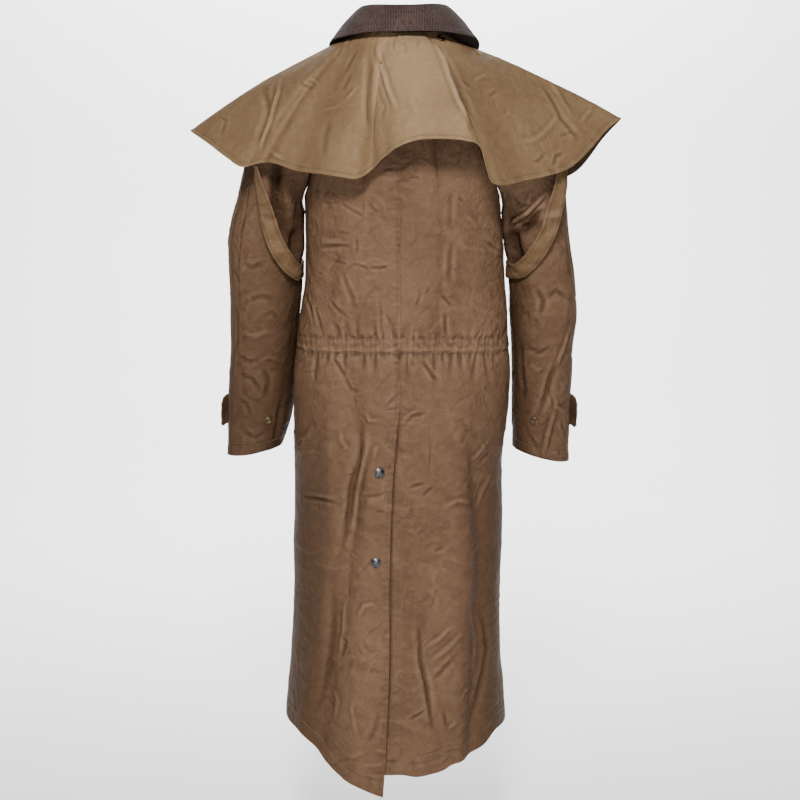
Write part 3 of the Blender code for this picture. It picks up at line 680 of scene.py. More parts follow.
def sharp_part(height, rounds=9):
    """Height less its own soft surroundings: only the sharp ridges and troughs."""
    soft = height
    for _ in range(rounds):
        wide = np.pad(soft, 1, mode="edge")
        soft = (wide[:-2, 1:-1] + wide[2:, 1:-1] + wide[1:-1, :-2] + wide[1:-1, 2:]) / 4
    return height - soft


# %% Make one cloth piece
finer = 1.0
made = {}
print("steps of the grids:", "fine")


def steps(count):
    return max(6, int(count * finer))


def cloth_piece(name, grid, wall, height, finish, lining, shade_and_light_map=0.0):
    """Closed wall of cloth on a grid of points, in the place of its solid node."""
    rows, columns = grid.shape[:2]
    index = np.arange(rows * columns).reshape(rows, columns)
    quads = np.stack([index[:-1, :-1], index[:-1, 1:], index[1:, 1:], index[1:, :-1]], -1)
    mesh = bpy.data.meshes.new("dressed_" + name)
    mesh.from_pydata(grid.reshape(-1, 3).tolist(), [], quads.reshape(-1, 4).tolist())
    mesh.polygons.foreach_set("use_smooth", [True] * len(mesh.polygons))
    u = from_edge(grid, "first column")
    u = u - u[:, columns // 2 : columns // 2 + 1]
    v = from_edge(grid, "first row")[:, columns // 2 : columns // 2 + 1]
    flat = np.stack(np.broadcast_arrays(u, v), -1).reshape(-1, 2)
    corners = np.zeros(len(mesh.loops), int)
    mesh.loops.foreach_get("vertex_index", corners)
    layer = mesh.uv_layers.new(name="flat_cloth")
    layer.data.foreach_set("uv", flat[corners].astype(np.float32).ravel())
    crease_wear_and_shade = mesh.attributes.new("crease_height", "FLOAT", "POINT")
    crease_wear_and_shade.data.foreach_set("value", sharp_part(height).reshape(-1).astype(np.float32))
    # Painted light and shade per point: above zero darkens the colour as shade, below zero lightens
    # it as light.
    kept = mesh.attributes.new("painted_light_and_shade", "FLOAT", "POINT")
    kept.data.foreach_set("value", (shade_and_light_map + 0 * height).reshape(-1).astype(np.float32))
    mesh.materials.append(finish)
    mesh.materials.append(lining)
    piece = bpy.data.objects.new("dressed_" + name, mesh)
    bpy.context.scene.collection.objects.link(piece)
    thicken = piece.modifiers.new("wall", "SOLIDIFY")
    thicken.thickness = wall
    thicken.offset = 0.0
    thicken.material_offset = 1
    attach(piece, "root")
    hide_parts(name)
    made[name] = (grid, facing(grid), area_of(grid), piece)
    print(name, "rows and columns", grid.shape[:2], "area", round(made[name][2], 3), "m2")
    return piece

# %% [markdown]
# ## Finishes as expressions
# Every finish below is a small formula of noise, creases and flat cloth. Writing it with
# plain signs keeps it readable: the class wraps one socket, and each sign adds the Math
# node that does the sum.

# %% A socket that can be added and multiplied
class Level:
    """A number over the surface, kept as the socket that gives it."""

    def __init__(self, finish, socket):
        self.finish, self.socket = finish, socket

    def sum(self, operation, *others):
        values = dict(enumerate((self,) + others))
        return self.finish.node("ShaderNodeMath", {"operation": operation}, values)

    def turned(self, operation, other):
        return self.finish.node("ShaderNodeMath", {"operation": operation}, {0: other, 1: self})

    def __add__(self, other):
        return self.sum("ADD", other)

    def __sub__(self, other):
        return self.sum("SUBTRACT", other)

    def __rsub__(self, other):
        return self.turned("SUBTRACT", other)

    def __mul__(self, other):
        return self.sum("MULTIPLY", other)

    __radd__ = __add__
    __rmul__ = __mul__

    def clip(self):
        """The same level, kept between 0 and 1."""
        return self.sum("MAXIMUM", 0.0).sum("MINIMUM", 1.0)

    def rise(self, start, end):
        """Soft step of the level from 0 at start to 1 at end."""
        spans = {"From Min": start, "From Max": end, "Value": self}
        return self.finish.node("ShaderNodeMapRange", {"interpolation_type": "SMOOTHSTEP"}, spans)


# %% A finish: one material and the nodes that make it
class Finish:
    """Material with a Principled shader, and one method that adds any node."""

    def __init__(self, name, roughness=0.6, metallic=0.0, **fixed):
        self.material = bpy.data.materials.new(name)
        self.material.use_nodes = True
        self.tree = self.material.node_tree
        self.shader = self.tree.nodes["Principled BSDF"]
        self.shader.inputs["Roughness"].default_value = roughness
        self.shader.inputs["Metallic"].default_value = metallic
        for socket, value in fixed.items():
            self.shader.inputs[socket.replace("_", " ")].default_value = value

    def put(self, socket, value):
        """Link a level to a socket, or set the socket's own value."""
        if isinstance(value, Level):
            self.tree.links.new(value.socket, socket)
        else:
            socket.default_value = value

    def node(self, kind, settings=None, values=None, output=0):
        """Add a node: its settings first, then the values or links of its sockets."""
        node = self.tree.nodes.new(kind)
        for setting, value in (settings or {}).items():
            setattr(node, setting, value)
        for socket, value in (values or {}).items():
            self.put(node.inputs[socket], value)
        return Level(self, node.outputs[output])

    def blend(self, share, low, high):
        """Mix two colours, given as three numbers or as levels, by a share."""
        low, high = ((*c, 1.0) if isinstance(c, tuple) else c for c in (low, high))
        values = {0: share, 6: low, 7: high}
        return self.node("ShaderNodeMix", {"data_type": "RGBA"}, values, 2)

    def noise(self, size, detail=3.0, rough=0.5, place=None, twist=0.0):
        """Cloudy noise whose patches are about one size across, in metres."""
        values = {"Scale": 1.0 / size, "Detail": detail, "Roughness": rough, "Distortion": twist}
        values["Vector"] = place or self.place()
        return self.node("ShaderNodeTexNoise", None, values)

    def place(self, stretch=(1.0, 1.0, 1.0)):
        """Where the surface is on the coat, in metres."""
        spot = self.node("ShaderNodeTexCoord", output=3)
        return self.node("ShaderNodeVectorMath", {"operation": "MULTIPLY"}, {0: spot, 1: stretch})

    def flat(self):
        """Where the surface lies on the flat cloth, in metres."""
        return self.node("ShaderNodeUVMap", {"uv_map": "flat_cloth"})

    def wave(self, place, pitch, along_axis, bend=0.0):
        """Even ridges across the flat cloth."""
        settings = {"wave_type": "BANDS", "bands_direction": along_axis, "wave_profile": "SIN"}
        values = {"Scale": math.pi / 10 / pitch, "Distortion": bend, "Detail": 1.0, "Vector": place}
        return self.node("ShaderNodeTexWave", settings, values)

    def bump(self, height, depth, under=None):
        """Relief of a real depth, in metres, over the relief under it."""
        values = {"Height": height, "Distance": depth, "Strength": 1.0}
        if under is not None:
            values["Normal"] = under
        return self.node("ShaderNodeBump", None, values)

    def set(self, **sockets):
        """Link levels to the sockets of the shader."""
        for socket, value in sockets.items():
            self.put(self.shader.inputs[socket.replace("_", " ")], value)
        return self.material


print("finish class ready")

# %% [markdown]
# ## Waxed cotton
# Waxed cotton is a dense plain weave filled with wax. The colour clouds softly where
# the wax lies thick and rubs pale along the creases; the troughs are painted darker as
# shade. Fine crinkles run where the wax has cracked; they are where a soft noise crosses
# its middle value. A glossy coat all over would look like plastic, so noise breaks up the sheen.

# %% Waxed cotton from five colours
# deep is the painted shade colour; rub is the pale of worn wax and also the painted light colour.
def waxed_cotton(name, deep, dark, middle, pale, rub, rough=0.60, crumple=1.0):
    """Waxed cotton: clouded colour, rubbed ridges, painted shade and light, fine weave and small
    crinkles.
    """
    wax = Finish(name, rough, 0.0, Specular_IOR_Level=0.05)
    crease_wear_and_shade = wax.node("ShaderNodeAttribute", {"attribute_name": "crease_height"}, output=2)
    painted_light_and_shade = wax.node("ShaderNodeAttribute", {"attribute_name": "painted_light_and_shade"}, output=2)
    place, flat = wax.place(), wax.flat()
    clouds = wax.noise(0.090, 4.0, 0.55, wax.place((1.0, 1.0, 0.6)))
    mottle = wax.noise(0.013, 3.0, 0.62, place, 0.4)
    specks = wax.noise(0.0036, 2.0, 0.6, place)
    wide = (wax.noise(0.052, 2.0, 0.45, place, 0.6) - 0.5).sum("ABSOLUTE")
    small = (wax.noise(0.021, 2.0, 0.50, place, 0.9) - 0.5).sum("ABSOLUTE")
    lines = (1.0 - small.rise(0.0, 0.035)) * clouds.rise(0.42, 0.60)
    base = wax.blend(clouds.rise(0.30, 0.70), dark, middle)
    base = wax.blend(mottle.rise(0.36, 0.74) * 0.36, base, pale)
    base = wax.blend(specks.rise(0.50, 0.78) * 0.26, base, dark)
    base = wax.blend(lines * 0.12, base, rub)
    base = wax.blend((crease_wear_and_shade * 800.0).clip() * (0.35 + mottle * 0.60) * 0.55, base, rub)
    # Painted shade: the troughs of the creases are darkened towards deep.
    base = wax.blend((crease_wear_and_shade * -800.0).clip() * 0.55, base, deep)
    # Painted shade and light from the map: above zero towards deep, below zero towards rub.
    base = wax.blend((painted_light_and_shade * (0.8 + clouds * 0.4)).clip(), base, deep)
    base = wax.blend((painted_light_and_shade * -1.0).clip(), base, rub)
    gloss = rough + (mottle - 0.5) * 0.30 + (clouds - 0.5) * 0.18 - (crease_wear_and_shade * 160.0).clip() * 0.07
    relief = wax.bump(wax.wave(flat, 0.0011, "X", 0.3) * wax.wave(flat, 0.0012, "Y", 0.3), 0.00005)
    relief = wax.bump(specks, 0.00022, relief)
    relief = wax.bump(mottle, 0.0010, relief)
    relief = wax.bump(wide, 0.010 * crumple, relief)
    relief = wax.bump(small, 0.0052 * crumple, relief)
    return wax.set(Base_Color=base, Roughness=gloss.clip(), Normal=relief)


# The first of the five colours is the painted shade colour; the last is the pale of rubbed wax,
# also used as painted light.
body_cotton = waxed_cotton(
    "waxed_body_cotton", (0.040, 0.021, 0.011), (0.100, 0.055, 0.031),
    (0.129, 0.073, 0.042), (0.160, 0.096, 0.058), (0.240, 0.151, 0.094)
)
cape_cotton = waxed_cotton(
    "waxed_cape_cotton", (0.070, 0.040, 0.019), (0.155, 0.095, 0.048),
    (0.194, 0.122, 0.064), (0.240, 0.157, 0.087), (0.345, 0.236, 0.132), 0.56, 0.45
)
strap_cotton = waxed_cotton(
    "waxed_strap_cotton", (0.045, 0.024, 0.012), (0.100, 0.058, 0.029),
    (0.128, 0.077, 0.039), (0.162, 0.101, 0.056), (0.250, 0.166, 0.100), 0.56, 0.5
)
# Painted shade: the hidden faces get copies of the waxed cotton about a fifth and a third as
# bright, for the shade inside the coat and under the cape.
shaded_inside_cotton = waxed_cotton(
    "shaded_inside_cotton", (0.012, 0.007, 0.004), (0.018, 0.011, 0.007), (0.028, 0.017, 0.011),
    (0.040, 0.025, 0.017), (0.055, 0.036, 0.025), 0.74
)
shaded_cape_inside = waxed_cotton(
    "cape_inside_cotton", (0.024, 0.014, 0.007), (0.040, 0.024, 0.013), (0.060, 0.037, 0.021),
    (0.080, 0.050, 0.030), (0.110, 0.072, 0.045), 0.66
)
print("waxed cotton in five finishes")

# %% [markdown]
# ## Corduroy
# Corduroy is cut pile in narrow upright ridges called wales. The flat place on the
# collar runs the wales up from the neck seam to the leaf edge, as they are cut, and the
# colour between them is painted dark as the shade in the grooves. Modelled ridges would
# cost many faces for a finish this fine, so a bump of the real depth does it.

# %% Corduroy with its real wale
wale = 0.0027
cord = Finish("collar_corduroy", 0.95, 0.0, Sheen_Weight=0.06, Sheen_Roughness=0.5,
              Specular_IOR_Level=0.10)
cord_flat = cord.flat()
ridges = cord.wave(cord_flat, wale, "X", 0.0)
pile = cord.noise(0.0016, 2.0, 0.6)
nap = cord.noise(0.030, 3.0, 0.55)
worn_pile = cord.node("ShaderNodeAttribute", {"attribute_name": "crease_height"}, output=2)
tufts = cord.noise(0.0045, 3.0, 0.7, cord.place((1.0, 1.0, 0.6)))
# Painted shade: the grooves between the wales are darkened.
cord_base = cord.blend(ridges.rise(0.10, 0.80), (0.016, 0.010, 0.009), (0.072, 0.045, 0.038))
cord_base = cord.blend(nap.rise(0.35, 0.72) * 0.35, cord_base, (0.100, 0.066, 0.056))
cord_base = cord.blend((worn_pile * 420.0).clip() * 0.40, cord_base, (0.130, 0.090, 0.078))
cord_base = cord.blend(tufts.rise(0.48, 0.66) * 0.60, cord_base, (0.018, 0.011, 0.010))
cord_relief = cord.bump(ridges, 0.00045)
cord_relief = cord.bump(pile, 0.00015, cord_relief)
cord_rough = (0.86 + (nap - 0.5) * 0.16).clip()
corduroy = cord.set(Base_Color=cord_base, Roughness=cord_rough, Normal=cord_relief)
print("corduroy wale", wale * 1000, "mm")

# %% [markdown]
# ## Thread and snap metal
# Strong thread, close to the colour of the cloth, sits in every seam. The snaps
# are pressed brass: large ones plated in gunmetal, small ring ones left to tarnish.

# %% Thread, gunmetal and antique brass
def thread_finish(name, dark, pale):
    """Twisted thread: small light and dark turns along each stitch."""
    thread = Finish(name, 0.72, 0.0, Sheen_Weight=0.2)
    twist = thread.noise(0.0011, 2.0, 0.5)
    colour = thread.blend(twist.rise(0.35, 0.70), dark, pale)
    relief = thread.bump(twist, 0.00008)
    return thread.set(Base_Color=colour, Roughness=(0.65 + twist * 0.2).clip(), Normal=relief)


def snap_metal(name, deep, bright, rub, rough):
    """Plated snap: tarnish in patches, rubbed at the crown, with fine scratches."""
    metal = Finish(name, rough, 1.0)
    tarnish = metal.noise(0.0035, 4.0, 0.65)
    rubbed = metal.noise(0.0012, 3.0, 0.6)
    scratch = metal.noise(0.0009, 2.0, 0.5, metal.place((1.0, 1.0, 0.15)))
    colour = metal.blend(tarnish.rise(0.36, 0.66), deep, bright)
    colour = metal.blend(rubbed.rise(0.60, 0.78) * 0.5, colour, rub)
    relief = metal.bump(scratch + tarnish, 0.00006)
    rough_map = rough + (tarnish - 0.5) * 0.36 - (rubbed - 0.5) * 0.10
    return metal.set(Base_Color=colour, Roughness=rough_map.clip(), Normal=relief)


body_thread = thread_finish("body_thread", (0.034, 0.018, 0.010), (0.175, 0.108, 0.068))
cape_thread = thread_finish("cape_thread", (0.070, 0.040, 0.019), (0.235, 0.152, 0.086))
collar_thread = thread_finish("collar_thread", (0.045, 0.030, 0.026), (0.100, 0.070, 0.060))
gunmetal = snap_metal("gunmetal_plate", (0.040, 0.037, 0.038), (0.130, 0.122, 0.120),
                      (0.300, 0.285, 0.275), 0.34)
brass = snap_metal("antique_brass_plate", (0.060, 0.040, 0.024), (0.200, 0.145, 0.085),
                   (0.420, 0.320, 0.200), 0.36)
print("thread and metal ready")

# %% [markdown]
# ## Back and front panels
# The long back is cut in two, with a seam down the middle and a vent below it; the two
# fronts lap over each other and close with snaps. Each panel reads the torso sections
# from the hem to the armpit, and is blended above that to the neck and the armhole. The
# grid is denser at the hem and the waist, where the cloth does most.

# %% Edges, laps and hem of a panel
def inner_edge(z, side, face):
    """Distance of a panel's middle edge from the middle, towards its own side."""
    if face < 0:
        return np.full(np.shape(z), -0.025)
    if side > 0:
        return along(vent_edge, z)[0]
    return -0.010 - 0.042 * ease(z, -0.585, -0.615)


def lap_depth(q, z, side, face):
    """How far an under lap lies below its cover; below zero the vent flap stands off."""
    if side > 0 and face > 0:
        return -0.004 * ease(z, -0.78, -1.18) * ease(q, 0.11, 0.02)
    if side > 0:
        return np.zeros(np.broadcast(q, z).shape)
    if face < 0:
        return 0.0045 * ease(q, 0.050, 0.029)
    deep = 0.0056 * ease(z, -0.575, -0.690)
    return np.maximum(0.0033, deep) * ease(q, 0.034, 0.000)


def hem_at(q, side, face):
    """Height of the hem at a distance from the middle."""
    left_back, right_back, front = along(hem_heights, np.abs(q))
    return front if face < 0 else (left_back if side > 0 else right_back)


def column_places(z, side, face, columns):
    """Distances from the middle for the columns of a panel, even round the body."""
    half = along(torso_sections, z)[0 if side > 0 else 1]
    start = inner_edge(z, side, face)
    first = np.sign(start) * np.arcsin((np.abs(start) / half) ** 1.12)
    angle = first + (math.pi / 2 - first) * np.linspace(0.0, 1.0, columns)
    return half * np.sign(angle) * np.abs(np.sin(angle)) ** (1 / 1.12)


def panel_grid(side, face, columns, rows):
    """Points of a body panel, hem to shoulder, closest at the hem and the waist."""
    parts = ((-1.250, -1.215, 0.04), (-1.215, -0.560, 0.52), (-0.560, -0.430, 0.14))
    parts += ((-0.430, armpit_z, 0.16),)
    levels = [np.linspace(a, b, int(rows * k), endpoint=False) for a, b, k in parts]
    z = np.concatenate(levels)[:, None]
    q = column_places(z, side, face, columns)
    near = np.exp(-(((z + 0.49) / 0.10) ** 2))
    level = z - (0.010 if side > 0 else 0.020) * near * (q / 0.19) ** 2
    level = level + (hem_at(q, side, face) - hem_level) * ease(z, -1.02, hem_level)
    halves = [along(torso_sections, at)[0 if side > 0 else 1] for at in (level, z)]
    place = q * (1 + (halves[0] / halves[1] - 1) * ease(q, 0.04, 0.12))
    lower = torso_place(side * place, level, face, -lap_depth(q, z, side, face))
    lower[:, -1, 1] = -face * 0.0003
    t, q = np.broadcast_arrays(
        np.linspace(0.0, 1.0, int(rows * 0.23))[:, None],
        column_places(np.array(armpit_z), side, face, columns)[None, :],
    )
    own, over = (shoulder_place(side * q, t, s, face) for s in (side, -side))
    drop = lap_depth(q, np.array(armpit_z), side, face)
    upper = np.where((q < 0)[..., None], over, own)
    upper = upper - points(0.0, face * drop, 0.8 * drop * t**3)
    return np.concatenate([lower, upper])[:, :: -side * face]


# %% [markdown]
# ## The drawn waist
# A cord runs in a casing between two stitch lines and draws the waist in. Each gather
# is a sharp little trough across the casing that opens out and fades above and below.
# They differ in depth, reach and slope, because a cord never gathers evenly.

# %% Gathers that run up and down from the casing
casing_top, casing_foot = -0.4740, -0.4970
gather_reach = 0.178


def casing(x):
    """Heights of the upper and the lower stitch line of the casing."""
    sag = 0.010 * (x / 0.19) ** 2 - 0.0010 * swell(x, 0.0 * x, 0.030, 17)
    return casing_top - sag, casing_foot - sag


def waist_gathers(x, z, face):
    """Uneven gathers round the two casing lines, with a groove at each line."""
    draw = np.random.default_rng(11 if face > 0 else 12)
    push = np.zeros(np.broadcast(x, z).shape)
    upper, lower = casing(x)
    near = (z < upper + 0.10) & (z > lower - 0.13)
    across, down = x[near], z[near]
    above, below = np.maximum(0.0, down - upper[near]), np.maximum(0.0, lower[near] - down)
    middle = down - (upper[near] + lower[near]) / 2
    gathers = np.zeros(across.shape)
    place = -gather_reach
    while place < gather_reach:
        wide, deep = 0.0019 + 0.0018 * draw.random(), 0.0016 + 0.0028 * draw.random()
        lean_up, lean_down, slant = place * 1.4 + 0.5 * (draw.random(3) - 0.5)
        rise, fall = 0.006 + 0.034 * draw.random() ** 3, 0.007 + 0.052 * draw.random() ** 3
        centre = place + 0.5 * slant * middle + lean_up * above + 0.5 * lean_down * below
        broad = wide * (1 + 34 * above + 26 * below)
        fade = np.exp(-((above / rise) ** 2) - (below / fall) ** 2)
        level = 0.34 + 0.66 * ease(above + below, 0.0, 0.003)
        gathers -= deep * level * fade * np.exp(-(((across - centre) / broad) ** 2))
        place += 0.0056 + 0.0052 * draw.random()
    push[near] = gathers
    for line, deep in ((upper, 0.0007), (lower, 0.0016)):
        uneven = 1.0 + 0.5 * swell(x, z * 0.0, 0.024, 18)
        push -= deep * np.exp(-(((z - line) / 0.0019) ** 2)) * uneven
    push += 0.0010 * np.exp(-(((z - lower - 0.0062) / 0.0040) ** 2))
    inside = ease(z, upper + 0.002, upper - 0.004) * ease(z, lower - 0.002, lower + 0.004)
    push += 0.0009 * inside * (0.5 + 0.9 * swell(x, z, 0.012, 13))
    return push * (ease(np.abs(x), 0.030, 0.055) if face < 0 else 1.0)


test_line = np.linspace(-0.17, 0.17, 300)
print("deepest gather:", waist_gathers(test_line, np.full(300, -0.485), 1).min().round(4))

# %% [markdown]
# ## Creases of the back
# Waxed cotton keeps a crease once it has been folded. These are the main ones: short
# slanting ones from the shoulder blades to the waist, and long ones down the skirt. Cloth
# simulation would give soft even folds in other places. A depth below zero is a trough;
# the places are x and z in millimetres.

# %% Creases of the back: depth, width, then places x and z
back_creases = crease_rows([
    (-14, 36, 137, -241, 100, -243),
    (-16, 38, 100, -244, 80, -255, 55, -268),
    (-14, 36, 59, -238, 49, -248, 35, -261),
    (-9, 30, 27, -254, 0, -251),
    (-18, 32, 33, -184, 7, -184),
    (-16, 32, -13, -196, -38, -198),
    (-12, 40, 110, -292, 79, -296),
    (-24, 42, 142, -322, 113, -317, 73, -314),
    (-18, 36, 73, -299, 71, -314, 72, -332),
    (-14, 38, 122, -343, 93, -345, 83, -348),
    (-20, 38, 87, -346, 63, -349, 49, -359),
    (-24, 36, 55, -351, 34, -352, 17, -348),
    (-20, 55, 96, -353, 91, -378, 81, -404, 77, -429),
    (-20, 42, 127, -403, 111, -420, 84, -442),
    (-20, 46, 147, -423, 139, -451, 137, -468),
    (-24, 50, 166, -406, 153, -432, 147, -457),
    (-12, 36, 36, -389, 32, -427, 34, -475),
    (-14, 34, 24, -427, 15, -449),
    (14, 60, 93, -306, 122, -310, 141, -307),
    (-17, 70, -88, -197, -84, -238, -85, -281, -92, -298),
    (-21, 66, -92, -298, -86, -323, -84, -357, -85, -391),
    (-24, 36, -69, -395, -79, -408, -90, -420),
    (-26, 40, -77, -425, -77, -451, -79, -476),
    (-14, 36, -25, -381, -34, -396, -25, -423),
    (-14, 34, -51, -381, -44, -398),
    (-16, 36, -97, -224, -110, -246),
    (-14, 44, -136, -304, -179, -337),
    (10, 60, -105, -263, -126, -277, -133, -295),
    (-30, 42, 117, -505, 106, -523, 99, -536, 98, -548),
    (-22, 44, 144, -511, 149, -537, 146, -559),
    (-18, 46, 97, -541, 88, -562, 66, -565),
    (-32, 44, -36, -508, -46, -521, -55, -535, -68, -547),
    (-20, 36, -17, -504, -24, -521),
    (-14, 44, 155, -614, 144, -638),
    (18, 46, 103, -627, 101, -650, 95, -662, 87, -672),
    (-40, 90, 67, -614, 72, -676, 87, -730, 96, -802, 106, -878),
    (34, 75, 53, -607, 56, -659, 74, -729, 84, -802, 89, -864),
    (18, 44, 61, -595, 53, -612, 31, -613),
    (-32, 40, 178, -766, 145, -761, 114, -758, 95, -768),
    (14, 50, 174, -755, 143, -752, 105, -750),
    (-14, 36, 134, -751, 115, -758),
    (14, 44, 49, -672, 40, -658, 45, -684),
    (-14, 42, 66, -745, 34, -742, 22, -734),
    (-16, 34, 40, -770, 24, -773),
    (-28, 38, 4, -622, -9, -620, -19, -604, -38, -601, -45, -594),
    (16, 44, 3, -609, -14, -606, -31, -592),
    (-14, 24, -51, -603, -51, -638, -50, -682, -47, -720),
    (-24, 40, -47, -720, -29, -725, -12, -730, -3, -733),
    (-18, 42, -36, -746, -60, -726),
    (-16, 36, 9, -771, -12, -770, -26, -767),
    (26, 56, -120, -691, -135, -686, -149, -666, -161, -654),
    (-20, 50, -135, -706, -146, -693, -162, -673),
    (26, 56, -141, -783, -149, -749, -163, -716),
    (-18, 44, -118, -847, -150, -844),
    (18, 56, -69, -771, -96, -755, -131, -763),
    (14, 46, 9, -799, -26, -808, -43, -796),
    (-14, 42, -56, -845, -78, -838),
    (-18, 44, 17, -831, 9, -858, -3, -843),
    (-40, 100, 113, -902, 116, -943, 121, -1000, 130, -1062, 139, -1110, 152, -1159),
    (30, 80, 99, -902, 101, -942, 99, -986, 109, -1034, 115, -1072),
    (-18, 42, 108, -998, 93, -1011, 98, -1027, 104, -1041),
    (18, 46, 73, -967, 61, -940, 48, -936, 36, -948),
    (14, 46, 77, -1103, 82, -1132, 77, -1158, 71, -1186),
    (-22, 70, 58, -1196, 44, -1163, 32, -1122),
    (18, 56, 124, -1098, 111, -1121, 117, -1159),
    (-12, 46, 66, -1002, 50, -1024, 35, -1017),
    (-16, 36, 5, -1006, -12, -1014),
    (-18, 34, 16, -1107, 5, -1114),
    (-26, 36, -4, -1156, -26, -1140, -48, -1127),
    (-16, 36, 14, -1158, -9, -1148),
    (-40, 70, -29, -957, -35, -1003, -37, -1043, -49, -1097, -54, -1143, -63, -1189),
    (24, 54, -49, -1052, -79, -1024, -110, -991),
    (20, 50, -43, -1023, -67, -1006, -90, -980),
    (-18, 50, -55, -1084, -77, -1057, -99, -1035),
    (20, 50, -102, -1121, -112, -1102, -136, -1104),
    (-42, 85, -141, -943, -155, -999, -159, -1041, -152, -1094, -136, -1159, -120, -1199),
    (20, 90, -110, -927, -140, -1022, -136, -1076, -108, -1119),
    (-18, 44, -76, -1136, -84, -1173),
    (14, 44, -84, -1173, -98, -1154),
    (-14, 50, -17, -902, -7, -929, -4, -969),
    (-9, 22, 14, -1218, -18, -1216, -57, -1210, -96, -1200, -124, -1201),
])
print(len(back_creases), "creases on the back")

# %% [markdown]
# ## Relief of the panels
# The creases, the drawn waist, the stitch lines and a faint swell add up to one height
# over each panel, which then moves its points along their normals. The height fades at
# the side seams, so that the panels still meet. The fronts are hidden here and get the
# creases of the back, mirrored and a little lower, as the cloth is the same.

# %% Relief of a body panel
triangle = ((0.0012, -0.5620), (0.0270, -0.5920), (0.0015, -0.5920))


def panel_relief(grid, side, face):
    """Depth of every gather, crease and swell on a body panel."""
    x, z = grid[..., 0], grid[..., 2]
    seed = 20 if face > 0 else 40
    push = 0.0010 * swell(x, z * 0.6, 0.110, seed) + 0.0005 * swell(x * 0.7, z, 0.040, seed + 1)
    push += 0.0010 * crinkle(x * 0.8, z, 0.060, seed + 2) - 0.0009 * crinkle(x, z, 0.045, seed + 5)
    table = back_creases
    if face < 0:
        table = [([(-a, b - 0.04) for a, b in line], d, w) for line, d, w in table]
    folds = creases_on(grid, table, lambda a, b: panel_spot(a, b, face), 1.05)
    push += folds * (ease(np.abs(x), 0.0, 0.02) if face < 0 else 1.0)
    if face > 0:
        for start, end in zip(triangle, triangle[1:]):
            line = [(side * start[0], start[1]), (side * end[0], end[1])]
            push += creases_on(grid, [(line, -0.0013, 0.0032)], lambda a, b: panel_spot(a, b, face))
    middle = from_edge(grid, "last column" if side * face > 0 else "first column")
    if face > 0 and side > 0:
        push += sewn_edge(middle, vent_stitch) + puckers(z, middle, vent_stitch, seed + 7)
    if face < 0 and side > 0:
        push += sewn_edge(middle, front_stitch)
    hem = from_edge(grid, "first row")
    push += sewn_edge(hem, hem_stitch, 0.0004)
    push += puckers(x, hem, hem_stitch, seed + 8, 0.0008, 0.020)
    outer = from_edge(grid, "first column" if side * face > 0 else "last column")
    return (push + waist_gathers(x, z, face)) * ease(outer, 0.0, 0.012)


def panel_spot(x, z, face):
    """Place of a crease on the back or front, above the armpit too."""
    low = torso_place(x, np.minimum(z, armpit_z), face)
    half = np.where(x > 0, 1, -1)
    top = np.array([neck_place(0.0 if face > 0 else 180.0)[2]])
    t = np.clip((z - armpit_z) / (top - armpit_z), 0.0, 1.0)
    left, right = (shoulder_place(x, t, s, face) for s in (1, -1))
    high = np.where((half > 0)[..., None], left, right)
    return np.where((z > armpit_z)[..., None], high, low)


# %% [markdown]
# ## Making the panels
# Besides its height each panel gets a map of painted shade: the skirt is painted darker
# at its sides, which turn from the lamps, and under the vent flap, in its shadow. Painting
# the map by hand would work as well; a rule keeps it the same on each build.

# %% Make the four body panels
def body_panel(side, face, columns, rows):
    """One panel, from its grid to the finished piece."""
    grid = soften(panel_grid(side, face, steps(columns), steps(rows)), armpit_z, 0.05)
    height = panel_relief(grid, side, face)
    name = ("back_" if face > 0 else "front_") + ("left" if side > 0 else "right")
    grid = grid + facing(grid) * height[..., None]
    x, z = side * grid[..., 0], grid[..., 2]
    # Painted shade: darker towards the sides of the skirt, below the waist.
    shade_and_light_map = 0.62 * ease(np.abs(x), 0.075, 0.170) * ease(z, -0.50, -0.78)
    # Painted shadow of the vent flap, on the strip of the right panel under its edge.
    if side < 0 < face:
        flap = x + along(vent_edge, z)[0]
        shade_and_light_map = shade_and_light_map + 0.95 * ease(flap, 0.0060, 0.0010) * ease(z, -0.580, -0.620)
    return cloth_piece(name, grid, cloth, height, body_cotton, shaded_inside_cotton, shade_and_light_map)


for face, columns, rows in ((1, 100, 426), (-1, 48, 190)):
    for side in (1, -1):
        body_panel(side, face, columns, rows)

# %% [markdown]
# ## Sleeves
# Each sleeve is cut in two pieces, upper and under, joined by a seam behind and one in
# front. The elbow bends forward a little, so the cloth breaks into short creases there
# and twists in long ones down to the cuff.

# %% Creases of the left sleeve: depth, width, then ring in hundredths and angle
left_sleeve_creases = crease_rows([
    (-16, 30, 310, 133, 385, 131, 445, 126, 525, 126, 620, 134),
    (-18, 46, 558, 122, 568, 106, 545, 91),
    (-18, 50, 660, 118, 643, 91, 653, 69),
    (18, 56, 740, 132, 750, 100, 730, 74),
    (-26, 46, 795, 141, 815, 109, 805, 88),
    (22, 46, 815, 98, 800, 75, 818, 56),
    (-26, 50, 845, 133, 858, 104, 900, 85),
    (-30, 60, 825, 88, 865, 76, 925, 78),
    (-18, 50, 912, 135, 935, 113, 983, 101),
    (-18, 46, 1020, 119, 1048, 89, 1028, 69),
    (-34, 70, 905, 46, 973, 52, 1045, 49, 1100, 40),
    (-16, 44, 698, 91, 688, 75, 710, 61),
    (-14, 60, 665, 141, 740, 137, 815, 140),
], 100, 1)
print(len(left_sleeve_creases), "creases on the left sleeve")

